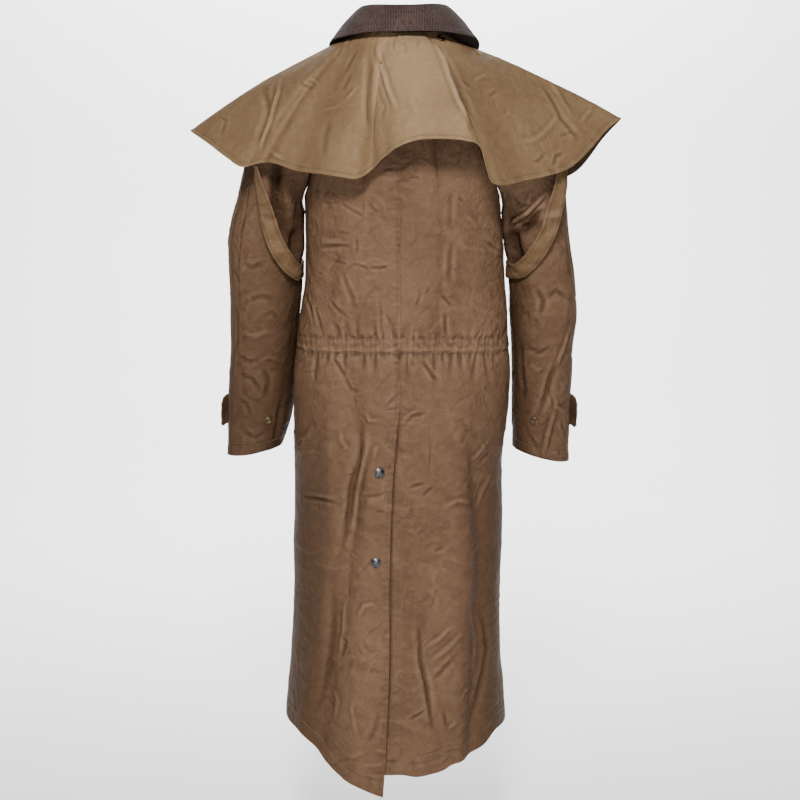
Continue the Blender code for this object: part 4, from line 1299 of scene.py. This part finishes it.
# %% Creases of the right sleeve: depth, width, then ring in hundredths and angle
right_sleeve_creases = crease_rows([
    (-16, 40, 480, 168, 565, 158, 668, 149),
    (-18, 50, 655, 89, 630, 109, 658, 133),
    (-24, 60, 610, 72, 655, 86, 703, 80),
    (-40, 75, 800, 119, 862, 101, 925, 90, 993, 78),
    (26, 56, 723, 142, 788, 125, 843, 107),
    (-22, 46, 775, 54, 790, 81, 770, 103),
    (18, 42, 818, 58, 838, 78, 825, 93),
    (30, 52, 947, 115, 1028, 100, 1095, 88),
    (22, 40, 908, 108, 947, 115, 975, 145),
    (-18, 44, 880, 92, 947, 115),
    (-16, 48, 1018, 50, 1060, 72, 1090, 84),
    (-18, 50, 990, 126, 1048, 149),
    (-30, 70, 750, 41, 858, 45, 947, 55),
    (70, 42, 333, 26, 345, 69, 338, 98, 345, 116),
    (-80, 85, 408, 40, 393, 75, 378, 107),
    (-26, 44, 193, 52, 285, 61, 320, 78),
    (22, 40, 278, 86, 303, 75, 358, 88),
], 100, 1)
print(len(right_sleeve_creases), "creases on the right sleeve")

# %% [markdown]
# ## Under the arms
# A raised arm needs spare cloth, and with the arm down that cloth bunches in deep folds
# beside the body. Little light gets in there, so the folds and the inner side of each
# sleeve are also painted dark in its map of painted shade.

# %% Deep folds under the arms, and their painted shade
left_underarm = crease_rows([
    (-150, 190, 120, 98, 210, 95, 320, 80, 450, 46),
    (50, 130, 200, 60, 290, 52, 370, 50),
    (-100, 170, 360, 44, 460, 40, 560, 46),
    (-20, 40, 220, 74, 300, 66, 360, 52),
], 100, 1)
right_underarm = crease_rows([
    (-110, 260, 360, 36, 430, 42, 520, 40),
    (-60, 210, 395, 52, 405, 78, 415, 104),
    (-70, 280, 460, 34, 530, 48, 590, 66),
], 100, 1)


def sleeve_shade_and_light(grid, folds, spot, station, degrees):
    """Painted shade on a sleeve, most on its inner side, in deep folds and at the cuff; painted
    light high on the right.
    """
    turn = (degrees + 180.0) % 360.0 - 180.0
    left = folds is left_underarm
    start, end = (0.5, 3.0) if left else (3.2, 4.6)
    upper, lower = (0.24, 0.30) if left else (0.07, 0.16)
    # Painted shade on the inner side, towards the body.
    shade_and_light_map = 1.00 * np.exp(-((turn / 58.0) ** 2)) * ease(station, start, end)
    # Painted shade over the whole sleeve, growing towards the cuff.
    shade_and_light_map = shade_and_light_map + upper + lower * ease(station, 6.0, 9.5)
    if not left:
        # Painted light on the upper part of the right sleeve.
        shade_and_light_map = shade_and_light_map - 0.30 * ease(station, 4.0, 2.8)
    # Painted shade in the deep folds under the arm.
    for line, depth, width in folds:
        if depth < -0.003:
            shade_and_light_map = shade_and_light_map + creases_on(grid, [(line, 0.85, width)], spot)
    return np.minimum(1.0, shade_and_light_map)


# %% [markdown]
# ## Relief of the sleeves
# A sleeve breaks on both sides of the elbow, so the creases behind come back in front,
# a little lower. The deep folds go on top, and the swell runs round the arm so that it
# has no start or end. Each sleeve is a tube of two pieces that meet at the long seams.

# %% Relief of a sleeve
def sleeve_relief(grid, side, station, degrees):
    """Creases behind as seen, similar ones in front, and swell all over."""
    table, sign = (left_sleeve, 1) if side > 0 else (right_sleeve, -1)
    creases = left_sleeve_creases if side > 0 else right_sleeve_creases

    def spot(a, b):
        return sleeve_place(table, a, b) * [sign, 1.0, 1.0]

    around = degrees / 360.0 * sleeve_girth
    down = grid[..., 2]
    push = 0.0010 * swell(around, down * 0.8, 0.080, 60 + side)
    push += 0.0012 * crinkle(around, down * 1.3, 0.055, 64 + side)
    push -= 0.0012 * crinkle(around * 0.7, down * 1.6, 0.045, 70 + side)
    push += creases_on(grid, creases, spot, 1.3)
    hidden = [([(a + 0.3, -b) for a, b in line], d, w) for line, d, w in creases]
    push += creases_on(grid, hidden, spot, 1.1)
    near_body = np.exp(-((((degrees + 180.0) % 360.0 - 180.0) / 48.0) ** 2))
    reach = (0.0050 if side > 0 else 0.0040) * ease(station, 1.2, 2.2) * ease(station, 5.4, 4.6)
    push += reach * near_body
    folds = left_underarm if side > 0 else right_underarm
    push += creases_on(grid, folds, spot)
    cuff = from_edge(grid, "last row")
    push += sewn_edge(cuff, cuff_stitch, 0.0004)
    push += puckers(around, cuff, cuff_stitch, 74, 0.0005, 0.016)
    return push, sleeve_shade_and_light(grid, folds, spot, station, degrees)


def sleeve_piece(side, kind, columns, rows):
    """Upper or under sleeve between the two long seams."""
    table = left_sleeve if side > 0 else right_sleeve
    first, last = back_sleeve_seam, front_sleeve_seam
    if kind == "under":
        first, last = front_sleeve_seam - 360.0, back_sleeve_seam
    degrees = np.linspace(first + 0.35, last - 0.35, steps(columns))[None, :]
    station = np.linspace(0.0, len(table) - 1.0, steps(rows))[:, None]
    station, degrees = np.broadcast_arrays(station, degrees)
    grid = sleeve_place(table, station, degrees) * [side, 1.0, 1.0]
    height, shade_and_light_map = sleeve_relief(grid, side, station, degrees)
    seams = np.minimum(degrees - first, last - degrees) / 360.0 * sleeve_girth
    height = height * ease(seams, 0.0, 0.012) * ease(station, 0.0, 0.6)
    from_seam = (degrees - first) / 360 * sleeve_girth
    height = height + sewn_edge(from_seam, vent_stitch) * ease(station, 0.3, 0.9)
    if side < 0:
        grid, height, shade_and_light_map = grid[:, ::-1], height[:, ::-1], shade_and_light_map[:, ::-1]
    grid = grid + facing(grid) * height[..., None]
    name = "sleeve_" + kind + ("_left" if side > 0 else "_right")
    return cloth_piece(name, grid, cloth, height, body_cotton, shaded_inside_cotton, shade_and_light_map)


for side in (1, -1):
    for kind, columns in (("upper", 54), ("under", 72)):
        sleeve_piece(side, kind, columns, 150)

# %% [markdown]
# ## Shoulder cape
# The cape is a flared half ring sewn into the neck seam. It has far more hem than
# shoulder, so it falls in waves: the middle stands proud between two folds, and each
# wing breaks once more over the arm. The waves are in its hem table; the sharp fold
# lines and the pulls between them are laid on it here.

# %% Creases of the cape: depth, width, then neck angle and share down in thousandths
cape_creases = crease_rows([
    (48, 52, 81, 450, 70.5, 580, 65.5, 670, 61.5, 745, 58.5, 855, 54.5, 990),
    (-44, 85, 85, 565, 72.5, 640, 65.5, 705, 62, 805, 57.5, 920),
    (18, 44, 55, 920, 49.5, 955, 45, 970),
    (-20, 34, 64.5, 450, 54, 520, 49, 540),
    (18, 36, 60.5, 425, 48, 505),
    (-16, 44, 55.5, 330, 62.5, 145),
    (-22, 52, 37.5, 410, 38, 180),
    (-18, 48, 34.5, 535, 33.5, 370),
    (20, 46, 32, 595, 26.5, 470),
    (16, 46, 41, 655, 36, 635, 32.5, 610),
    (-26, 90, 36, 685, 35, 790, 33, 935),
    (-55, 75, 30.5, 85, 22.5, 360, 19, 600, 15.5, 820),
    (50, 52, 25.5, 75, 16.5, 275, 9, 465, 1.5, 810),
    (-16, 52, 14, 490, 7.5, 705, 9.5, 815),
    (-20, 46, 84.5, 850, 80.5, 850, 75.5, 940),
    (56, 42, -33.5, 40, -25.5, 190, -22.5, 420, -21, 550, -20.5, 735, -22.5, 860, -23.5, 950),
    (-50, 70, -36.5, 85, -33.5, 195, -33, 355, -32.5, 465, -32.5, 590, -34, 715),
    (18, 48, -33.5, 415, -41, 505),
    (18, 42, -44, 415, -54.5, 380, -55.5, 420),
    (-18, 42, -46, 530, -55.5, 485),
    (14, 40, -47.5, 660, -53, 630),
    (18, 54, -46.5, 795, -53, 810, -62.5, 785, -71.5, 765, -77.5, 735),
    (-34, 70, -85.5, 530, -76.5, 705, -72.5, 785, -71.5, 905, -67.5, 935),
    (18, 60, -89.5, 545, -79.5, 745, -75.5, 845),
    (18, 46, -76, 875, -86, 860),
    (-18, 42, -65, 840, -71, 870, -72, 915),
    (-18, 44, -47.5, 910, -50, 920, -57, 880),
    (-24, 48, -54, 970, -59, 920, -64, 920),
    (12, 60, -2.5, 680, -5, 870),
    (-20, 40, -2.5, 145, -3.5, 345),
    (-18, 40, -16.5, 95, -10.5, 275),
    (-18, 36, 7, 105, 4, 275),
    (-16, 50, -83.5, 120, -65.5, 265),
    (16, 60, 59.5, 70, 47.5, 255),
], 1)
print(len(cape_creases), "creases on the cape")

# %% [markdown]
# ## Making the cape
# The middle panel stands proud of the folds beside it and is painted lighter, as light
# that strikes it straight on; the wings and bands beside the two folds are painted
# darker as shade. Behind the front edges nobody looks closely, so the columns are
# further apart there.

# %% Make the cape
def cape_piece(columns, rows):
    """The cape, denser behind than at its front edges."""
    share = np.linspace(0.0, 1.0, steps(columns))
    degrees = np.interp(share, [0.0, 0.14, 0.86, 1.0], [-165.0, -98.0, 98.0, 165.0])
    t = np.linspace(0.0, 1.0, steps(rows)) ** 0.9
    degrees, t = np.broadcast_arrays(degrees[::-1][None, :], t[::-1][:, None])
    grid = cape_place(degrees, t)
    x, y = grid[..., 0], grid[..., 1]
    height = creases_on(grid, cape_creases, cape_place, 0.85)
    middle = ease(degrees, -30 + 8 * t, -27 + 8 * t) * ease(degrees, 26 - 12 * t, 20 - 12 * t)
    height += 0.0065 * middle * ease(t, 0.02, 0.25) * ease(t, 1.0, 0.80)
    front = [([(math.copysign(180.0 - abs(a) * 0.8, a), b) for a, b in line], d, w)
             for line, d, w in cape_creases[::2]]
    height += creases_on(grid, front, cape_place, 0.8)
    height += 0.0009 * swell(x, y, 0.085, 80) + 0.0005 * crinkle(x, y, 0.055, 82)
    height -= 0.0004 * crinkle(x, y * 1.2, 0.040, 86)
    neck = from_edge(grid, "last row")
    pleats = swell(degrees * 0.0014, t * 0.02, 0.008, 84) * np.exp(-((degrees / 36.0) ** 4))
    height += 0.0010 * pleats * np.exp(-(((neck - 0.004) / 0.018) ** 2))
    hem = from_edge(grid, "first row")
    height += sewn_edge(hem, cape_stitch, 0.0007)
    height += puckers(degrees * 0.0044, hem, cape_stitch, 88, 0.0006, 0.018)
    height *= ease(neck, 0.0, 0.008) * ease(np.abs(degrees), 165.0, 160.0)
    grid = grid + facing(grid) * height[..., None]
    # Painted shade on the wings and in bands beside the folds at about 36 degrees each side;
    # painted light on the middle panel, less towards the hem.
    shade_and_light_map = 0.28 * ease(np.abs(degrees), 22.0, 70.0)
    shade_and_light_map = shade_and_light_map + 0.44 * np.exp(-(((degrees - 36.0) / 9.0) ** 2)) * ease(t, 0.02, 0.20)
    shade_and_light_map = shade_and_light_map + 0.50 * np.exp(-(((degrees + 37.0) / 8.0) ** 2)) * ease(t, 0.10, 0.45)
    shade_and_light_map = shade_and_light_map - middle * (0.38 - 0.24 * ease(t, 0.45, 0.85))
    return cloth_piece("cape", grid, cloth, height, cape_cotton, shaded_cape_inside, shade_and_light_map)


cape_piece(400, 120)

# %% [markdown]
# ## Collar
# A corduroy collar, cut in one with its stand, rolls over and lies on the cape. The
# points wander a little at the leaf edge, where a topstitch holds the turned cloth.

# %% Make the collar
def collar_piece(columns, rows):
    """Leaf and stand of the collar, tucked in at the neck seam."""
    degrees, t = np.broadcast_arrays(
        np.linspace(153.0, -153.0, steps(columns))[None, :],
        np.linspace(1.0, 0.0, steps(rows))[:, None],
    )
    grid = collar_place(degrees, t)
    sewn_in = [neck_place(degrees[:1], 0.0021, -0.0045), neck_place(degrees[:1], 0.0019, -0.0012)]
    grid = np.concatenate([grid] + sewn_in[::-1])
    t = np.concatenate([t, t[:2] * 0.0])
    degrees = np.concatenate([degrees, degrees[:2]])
    leaf = from_edge(grid, "first row")
    height = 0.0007 * swell(degrees * 0.0016, t * 0.1, 0.060, 90) * ease(t, 0.3, 0.6)
    height += sewn_edge(leaf, collar_stitch, 0.0006, 0.0007)
    grid = grid + facing(grid) * height[..., None]
    return cloth_piece("collar", grid, corduroy_wall, height, corduroy, corduroy)


collar_piece(200, 50)

# %% [markdown]
# ## Arm straps
# A folded strap of the cape's cloth runs from under each cape wing round the armpit, and
# holds the cape down in the wind. It is stitched along both edges and wrinkles across
# where it turns under the arm.

# %% Make the arm straps
def strap_piece(side, columns, rows):
    """One strap, carried a little beyond its table at both ends."""
    table = left_strap if side > 0 else right_strap
    first, last = np.array(table[0]), np.array(table[-1])
    up = [first + 0.35 * (first - table[1])] + table + [last + 0.35 * (last - table[-2])]
    numbered = [(float(k), *row) for k, row in enumerate(up)]
    t = np.linspace(0.0, len(up) - 1.0, steps(rows))[:, None]
    across = np.linspace(0.0, 1.0, columns)[None, :]
    edges = along(numbered, t)
    outer = points(side * edges[0], edges[1], edges[2])
    inner = points(side * edges[3], edges[4], edges[5])
    grid = outer + (inner - outer) * across[..., None]
    if side < 0:
        grid = grid[:, ::-1]
    away = np.minimum(from_edge(grid, "first column"), from_edge(grid, "last column"))
    down = from_edge(grid, "first row")
    height = 0.0009 * swell(down, across * 0.02, 0.030, 95 + side)
    height = height - 0.0016 * crinkle(down, across * 0.01, 0.030, 97)
    height = height + 0.0014 + sewn_edge(away, strap_stitch, 0.0007, 0.0011)
    grid = grid + facing(grid) * height[..., None]
    name = "arm_strap_" + ("left" if side > 0 else "right")
    return cloth_piece(name, grid, cloth, height, strap_cotton, strap_cotton)


for side in (1, -1):
    strap_piece(side, 16, 150)

# %% [markdown]
# ## Cuff tabs
# A short tab on each cuff closes it with a snap. It is sewn on in front and its free
# end behind stands off the sleeve, which shows in the outline.

# %% Make the cuff tabs
tab_start, tab_end = 168.0, 285.0


def tab_piece(side, columns, rows):
    """One tab, laid on its sleeve and lifted towards its free end."""
    table = left_sleeve if side > 0 else right_sleeve
    angle, lift, high, middle, low = np.array(cuff_tab).T
    at = np.linspace(tab_start, tab_end, steps(rows))
    ends = np.stack([np.interp(at, angle, column) for column in (high, middle, low)], -1)
    across = np.linspace(0.0, 2.0, columns)
    place = np.clip(across.astype(int), 0, 1)
    station = ends[:, place] + (ends[:, place + 1] - ends[:, place]) * (across - place)
    degrees = np.broadcast_to(at[:, None], station.shape)
    ring = np.clip(station.astype(int), 0, len(table) - 2)
    lower = sleeve_place(table, ring.astype(float), degrees)
    upper = sleeve_place(table, ring + 1.0, degrees)
    grid = lower + (upper - lower) * (station - ring)[..., None]
    out = facing(sleeve_place(table, station, degrees))
    centre = sleeve_place(table, station, degrees * 0)
    centre = centre + sleeve_place(table, station, degrees * 0 + 180)
    out = out * np.sign(((grid - centre / 2) * out).sum(-1, keepdims=True))
    stand = 0.0020 + np.interp(at, angle, lift)
    grid = (grid + out * stand[:, None, None]) * [side, 1.0, 1.0]
    if side > 0:
        grid = grid[:, ::-1]
    away = np.minimum(from_edge(grid, "first column"), from_edge(grid, "last column"))
    height = sewn_edge(away, strap_stitch, 0.0005)
    height = height + 0.0005 * swell(at[:, None] * 0.001, away, 0.03, 99)
    grid = grid + facing(grid) * height[..., None]
    name = "cuff_tab_" + ("left" if side > 0 else "right")
    # The whole tab is darkened a quarter of the way towards the painted shade colour.
    return cloth_piece(name, grid, cloth, height, body_cotton, body_cotton, 0.25)


for side in (1, -1):
    tab_piece(side, 14, 60)

# %% [markdown]
# ## Stitches
# The coat is topstitched with strong thread. Each stitch is a small rounded bar that
# dips into the cloth at both ends. A painted line would be flat under the light; bars
# catch it as thread does, and cost few faces each.

# %% Stitches along a path on the cloth
stitch_rings = ((-0.5, -0.3, 0.7), (-0.2, 0.6, 1.0), (0.2, 0.6, 1.0), (0.5, -0.3, 0.7))


def stitch_bars(path, out, pitch, thick):
    """Points and faces of a row of stitches."""
    walked = np.concatenate([[0.0], np.cumsum(np.linalg.norm(np.diff(path, axis=0), axis=-1))])
    starts = np.arange(pitch / 2, walked[-1], pitch)

    def at(values, where):
        return np.stack([np.interp(where, walked, values[:, k]) for k in range(3)], -1)

    centre, up = at(path, starts), at(out, starts)
    ahead = at(path, starts + 0.33 * pitch) - at(path, starts - 0.33 * pitch)
    across = np.cross(ahead, up)
    across = across / np.maximum(1e-9, np.linalg.norm(across, axis=-1, keepdims=True))
    rings = []
    for share, lift, round_off in stitch_rings:
        for turn in range(4):
            angle = math.radians(90 * turn + 45)
            side = math.cos(angle) * across + math.sin(angle) * up
            spot = centre + ahead * share + up * (cloth / 2 + thick * lift)
            rings.append(spot + side * thick * round_off)
    spots = np.stack(rings, 1).reshape(-1, 3)
    faces = [(3, 2, 1, 0), (12, 13, 14, 15)]
    faces += [(4 * r + k, 4 * r + (k + 1) % 4, 4 * r + 4 + (k + 1) % 4, 4 * r + 4 + k)
              for r in range(3) for k in range(4)]
    faces = np.array(faces)[None] + 16 * np.arange(len(starts))[:, None, None]
    return spots, faces.reshape(-1, 4)


def stitches(name, runs, finish, pitch=0.0040, thick=0.00056):
    """All stitches of one piece of cloth, as one mesh."""
    pitch = pitch / finer
    parts = [stitch_bars(path, out, pitch, thick) for path, out in runs]
    starts = np.cumsum([0] + [len(spots) for spots, faces in parts])
    spots = np.concatenate([spots for spots, faces in parts])
    faces = np.concatenate([faces + start for (_, faces), start in zip(parts, starts)])
    mesh = bpy.data.meshes.new("stitches_" + name)
    mesh.from_pydata(spots.tolist(), [], faces.tolist())
    mesh.polygons.foreach_set("use_smooth", [True] * len(mesh.polygons))
    mesh.materials.append(finish)
    thread = bpy.data.objects.new("stitches_" + name, mesh)
    bpy.context.scene.collection.objects.link(thread)
    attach(thread, "root") or thread
    print(thread.name, len(faces) // 14, "stitches")
    return thread


# %% [markdown]
# ## Where the stitches run
# Most stitch lines keep an even distance from an edge. The casing and the triangle over
# the vent cross the cloth instead, so their lines are dropped onto it: a ray from behind
# or in front finds the creased cloth under each place.

# %% Paths for stitches: beside an edge, or laid on the cloth
def beside(name, edge, inset, start=0.0, end=1.0):
    """Path at an even distance from an edge of a piece."""
    grid, out = made[name][:2]
    away = from_edge(grid, edge)
    if edge.endswith("row"):
        grid, out, away = grid.swapaxes(0, 1), out.swapaxes(0, 1), away.T
    if edge.startswith("last"):
        grid, out, away = grid[:, ::-1], out[:, ::-1], away[:, ::-1]
    after = np.clip((away < inset).sum(axis=1), 1, away.shape[1] - 1)
    rows = np.arange(len(away))
    share = (inset - away[rows, after - 1]) / (away[rows, after] - away[rows, after - 1])
    share = np.clip(share, 0.0, 1.0)[:, None]
    path = grid[rows, after - 1] * (1 - share) + grid[rows, after] * share
    part = slice(int(start * len(rows)), max(2, int(end * len(rows))))
    return path[part], out[rows, after][part]


def on_cloth(name):
    """Search tree of a piece, to lay other things on it."""
    grid = made[name][0]
    index = np.arange(grid[..., 0].size).reshape(grid.shape[:2])
    quads = np.stack([index[:-1, :-1], index[:-1, 1:], index[1:, 1:], index[1:, :-1]], -1)
    return BVHTree.FromPolygons(grid.reshape(-1, 3).tolist(), quads.reshape(-1, 4).tolist())


def laid(tree, places, face, gap=0.003):
    """Path over the cloth under places (x, z), seen from the back or the front."""
    places = np.array(places, float)
    walked = np.concatenate([[0.0], np.cumsum(np.hypot(*np.diff(places, axis=0).T))])
    at = np.linspace(0.0, walked[-1], max(2, int(walked[-1] / gap)))
    path, out = [], []
    for x, z in zip(np.interp(at, walked, places[:, 0]), np.interp(at, walked, places[:, 1])):
        spot, normal = tree.ray_cast(Vector((x, face, z)), Vector((0, -face, 0)))[:2]
        if spot is not None:
            path.append(spot)
            out.append(normal if normal.y * face > 0 else -normal)
    return np.array(path), np.array(out)


trees = {name: on_cloth(name) for name in made}
print("search trees for", len(trees), "pieces")

# %% [markdown]
# ## Sewing
# The body is sewn first: hem, casing, vent flap, the triangle that keeps the vent from
# tearing, and the front edge. Then come the long sleeve seams and the edges of the
# smaller pieces. The thread matches the cloth that it holds.

# %% Sew the body
for label, sign in (("left", 1), ("right", -1)):
    inner = "last column" if sign > 0 else "first column"
    for face, part in ((1, "back_"), (-1, "front_")):
        name = part + label
        reach = np.linspace(0.001 if face > 0 else 0.008, 0.172, 40) * sign
        runs = [beside(name, "first row", hem_stitch)]
        runs += [laid(trees[name], list(zip(reach, casing(reach)[k])), face) for k in (0, 1)]
        if face > 0 and sign > 0:
            runs += [beside(name, inner, vent_stitch, 0.0, 0.97)]
        if face > 0:
            for start, end in zip(triangle, triangle[1:]):
                line = [(sign * start[0], start[1]), (sign * end[0], end[1])]
                runs += [laid(trees[name], line, face)]
        if face > 0 and sign < 0:
            facing_edge = [(-0.0614, -0.585), (-0.0605, -0.65), (-0.0570, -0.718)]
            runs += [laid(trees[name], facing_edge, face)]
        if face < 0 and sign > 0:
            runs += [beside(name, "first column", front_stitch, 0.0, 0.97)]
        stitches(name, runs, body_thread)

# %% Sew the sleeves, straps, tabs, cape and collar
for label, sign in (("left", 1), ("right", -1)):
    for kind in ("upper", "under"):
        name = "sleeve_" + kind + "_" + label
        seam = "first column" if sign > 0 else "last column"
        runs = [beside(name, seam, vent_stitch, 0.12), beside(name, "last row", cuff_stitch)]
        stitches(name, runs, body_thread)
    name = "arm_strap_" + label
    runs = [beside(name, edge, strap_stitch) for edge in ("first column", "last column")]
    stitches(name, runs, cape_thread)
    name = "cuff_tab_" + label
    edges = ("first column", "last column", "first row")
    runs = [beside(name, edge, strap_stitch) for edge in edges]
    stitches(name, runs, body_thread)
runs = [beside("cape", "first row", cape_stitch)]
stitches("cape", runs, cape_thread)
runs = [beside("collar", "first row", collar_stitch)]
stitches("collar", runs, collar_thread)

# %% [markdown]
# ## Snaps
# A snap cap is pressed from sheet brass over a mould: a domed cap with a rolled rim on
# the body, and a ring with a sunk middle on the cuffs. Turning an outline round an axis
# makes both, and each one is seated on the creased cloth under its solid.

# %% Turn an outline into a snap and seat it on the cloth
domed = [(0.60, -0.15), (0.93, -0.10), (1.00, 0.12), (1.00, 0.30), (0.96, 0.44),
         (0.90, 0.50), (0.86, 0.47), (0.83, 0.50), (0.74, 0.68), (0.58, 0.86),
         (0.38, 0.96), (0.18, 1.00), (0.0, 1.01)]
ringed = [(0.60, -0.15), (0.95, -0.10), (1.00, 0.20), (0.99, 0.55), (0.94, 0.82),
          (0.85, 0.98), (0.74, 1.00), (0.63, 0.92), (0.56, 0.72), (0.52, 0.48),
          (0.46, 0.42), (0.30, 0.44), (0.16, 0.56), (0.0, 0.60)]


def turned_snap(name, cloth_name, outline, radius, height, finish, slot):
    """Snap turned from its outline, on the cloth nearest to the middle of its solid."""
    low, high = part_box(name)
    middle = (Vector(low) + Vector(high)) / 2
    if name == "neck_snap":
        middle += Vector((0.0, -0.013, 0.011))
    spot, normal = trees[cloth_name].find_nearest(middle)[:2]
    if normal.dot(middle - spot) < 0 and name != "neck_snap":
        normal = -normal
    sides = 48
    turn = np.radians(np.arange(sides) * 360.0 / sides)
    rings = [points(r * radius * np.cos(turn), r * radius * np.sin(turn), h * height)
             for r, h in outline]
    index = np.arange(len(outline) * sides).reshape(-1, sides)
    after = np.roll(index, -1, 1)
    quads = np.stack([index[:-1], after[:-1], after[1:], index[1:]], -1)
    mesh = bpy.data.meshes.new("turned_" + name)
    mesh.from_pydata(np.concatenate(rings).tolist(), [], quads.reshape(-1, 4).tolist())
    mesh.polygons.foreach_set("use_smooth", [True] * len(mesh.polygons))
    mesh.materials.append(finish)
    cap = bpy.data.objects.new("turned_" + name, mesh)
    bpy.context.scene.collection.objects.link(cap)
    seat = spot + normal * (cloth / 2 + 0.0004)
    upright = normal.to_track_quat("Z", "Y").to_matrix().to_4x4()
    cap.matrix_world = Matrix.Translation(seat) @ upright
    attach(cap, "root")
    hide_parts(name)
    return cap


large, small = (0.0095, 0.0034), (0.0068, 0.0026)
dark_plate, brass_plate = (gunmetal, "gunmetal"), (brass, "antique_brass")
seats = [("vent_snap_" + k, "back_left", domed, large, dark_plate) for k in ("upper", "lower")]
seats += [("front_snap_%d" % k, "front_left", domed, large, dark_plate) for k in range(1, 6)]
for label in ("left", "right"):
    seats.append(("cuff_snap_" + label, "sleeve_under_" + label, ringed, small, brass_plate))
    seats.append(("tab_snap_" + label, "cuff_tab_" + label, domed, small, dark_plate))
seats.append(("neck_snap", "cape", ringed, small, brass_plate))
snaps = [turned_snap(name, under, outline, *size, *plate)
         for name, under, outline, size, plate in seats]
print(len(snaps), "snaps")

# %% [markdown]
# ## Flat sizes of the cloth
# A piece of cloth is cut flat, so its area is known before it is worn. The width and
# the length are its longest runs across and along; the area is that of its own cut.

# %% Measure every sheet: its longest runs, and what it rests on
for name, (grid, out, area, piece) in made.items():
    rows = np.linalg.norm(np.diff(grid, axis=0), axis=-1).sum(axis=0).max()
    columns = np.linalg.norm(np.diff(grid, axis=1), axis=-1).sum(axis=1).max()
    lies_on = {"cuf": "sleeve_upper_", "arm": "sleeve_under_"}.get(name[:3])
    rests = ["dressed_" + lies_on + name.split("_")[-1]] if lies_on else []

# %% [markdown]
# ## Stage
# The coat hangs in the air at shoulder height, over a plain pale floor that curves up
# behind it, so that no line of a wall shows. A painted background would be simpler, but
# would send no light back up under the cape and the skirt.

# %% Pale floor that curves up into a backdrop
def pale_sweep():
    """Floor and wall in one sheet, joined by a wide curve."""
    floor_z, wall_y, bend = -1.50, -3.4, 1.2
    path = [(4.5, floor_z), (wall_y + bend, floor_z)]
    for k in range(1, 13):
        angle = math.radians(90 * k / 12)
        path.append((wall_y + bend * (1 - math.sin(angle)), floor_z + bend * (1 - math.cos(angle))))
    path.append((wall_y, 4.0))
    places = [(x, y, z) for y, z in path for x in (-3.2, 3.2)]
    faces = [(2 * k, 2 * k + 1, 2 * k + 3, 2 * k + 2) for k in range(len(path) - 1)]
    mesh = bpy.data.meshes.new("pale_sweep")
    mesh.from_pydata(places, [], faces)
    mesh.polygons.foreach_set("use_smooth", [True] * len(mesh.polygons))
    sweep = bpy.data.objects.new("pale_sweep", mesh)
    bpy.context.scene.collection.objects.link(sweep)
    paper = Finish("pale_paper", 0.9)
    grain = paper.noise(0.6, 3.0)
    paper.set(Base_Color=paper.blend(grain, (0.83, 0.83, 0.83), (0.87, 0.87, 0.87)))
    mesh.materials.append(paper.material)
    sweep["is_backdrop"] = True


pale_sweep()

# %% [markdown]
# ## Light and camera
# A soft box high behind the coat gives the gentle shade of its folds, a weak one low
# down opens the shadows, and a third lights only the backdrop. The camera stands at the
# height of the neck and looks down a little, far enough away for straight sides.

# %% Soft studio light
def soft_light(name, place, aim, size, power):
    """Square soft box that points at a place on the coat."""
    lamp = bpy.data.lights.new(name, "AREA")
    lamp.shape = "SQUARE"
    lamp.size = size
    lamp.energy = power
    light = bpy.data.objects.new(name, lamp)
    light.location = place
    light.rotation_euler = (Vector(aim) - Vector(place)).to_track_quat("-Z", "Y").to_euler()
    bpy.context.scene.collection.objects.link(light)


soft_light("key_light", (0.15, 3.2, 1.9), (0.0, 0.0, -0.4), 0.7, 226)
soft_light("fill_light", (-0.3, 3.5, -0.5), (0.0, 0.0, -0.8), 0.9, 40)
soft_light("backdrop_light", (0.0, -1.5, 2.2), (0.0, -4.5, 0.6), 3.0, 620)
world = bpy.data.worlds.new("pale_room")
bpy.context.scene.world = world
world.use_nodes = True
world.node_tree.nodes["Background"].inputs["Color"].default_value = (0.95, 0.97, 1.0, 1.0)
world.node_tree.nodes["Background"].inputs["Strength"].default_value = 0.06
print("three soft lights")

# %% Camera at the height of the neck, looking a little down
camera_distance, look_down = 2.85, 12.0
lens = bpy.data.cameras.new("camera")
lens.lens = 73.0
lens.sensor_width = 36.0
lens.clip_end = 50.0
camera = bpy.data.objects.new("camera", lens)
camera.location = (0.0, camera_distance, 0.0)
camera.rotation_euler = (math.radians(90.0 - look_down), 0.0, math.radians(180.0))
bpy.context.scene.collection.objects.link(camera)
bpy.context.scene.camera = camera
print("camera", tuple(camera.location), "lens", lens.lens)

# %% [markdown]
# ## Closing
# The dressed coat must stay in the box of its solid walls, so the difference of the
# corners of both boxes is printed, in millimetres.

# %% Print how far the boxes differ, and count the triangles
box_after = [list(corner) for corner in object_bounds()]
for before, after in zip(box_before, box_after):
    print("corner in millimetres:", [round((b - a) * 1000, 1) for a, b in zip(before, after)])
shown = bpy.context.evaluated_depsgraph_get()
sizes = [sum(len(p.vertices) - 2 for p in piece.evaluated_get(shown).data.polygons)
         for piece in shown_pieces()]
print("triangles in all", sum(sizes), "and in the largest piece", max(sizes))
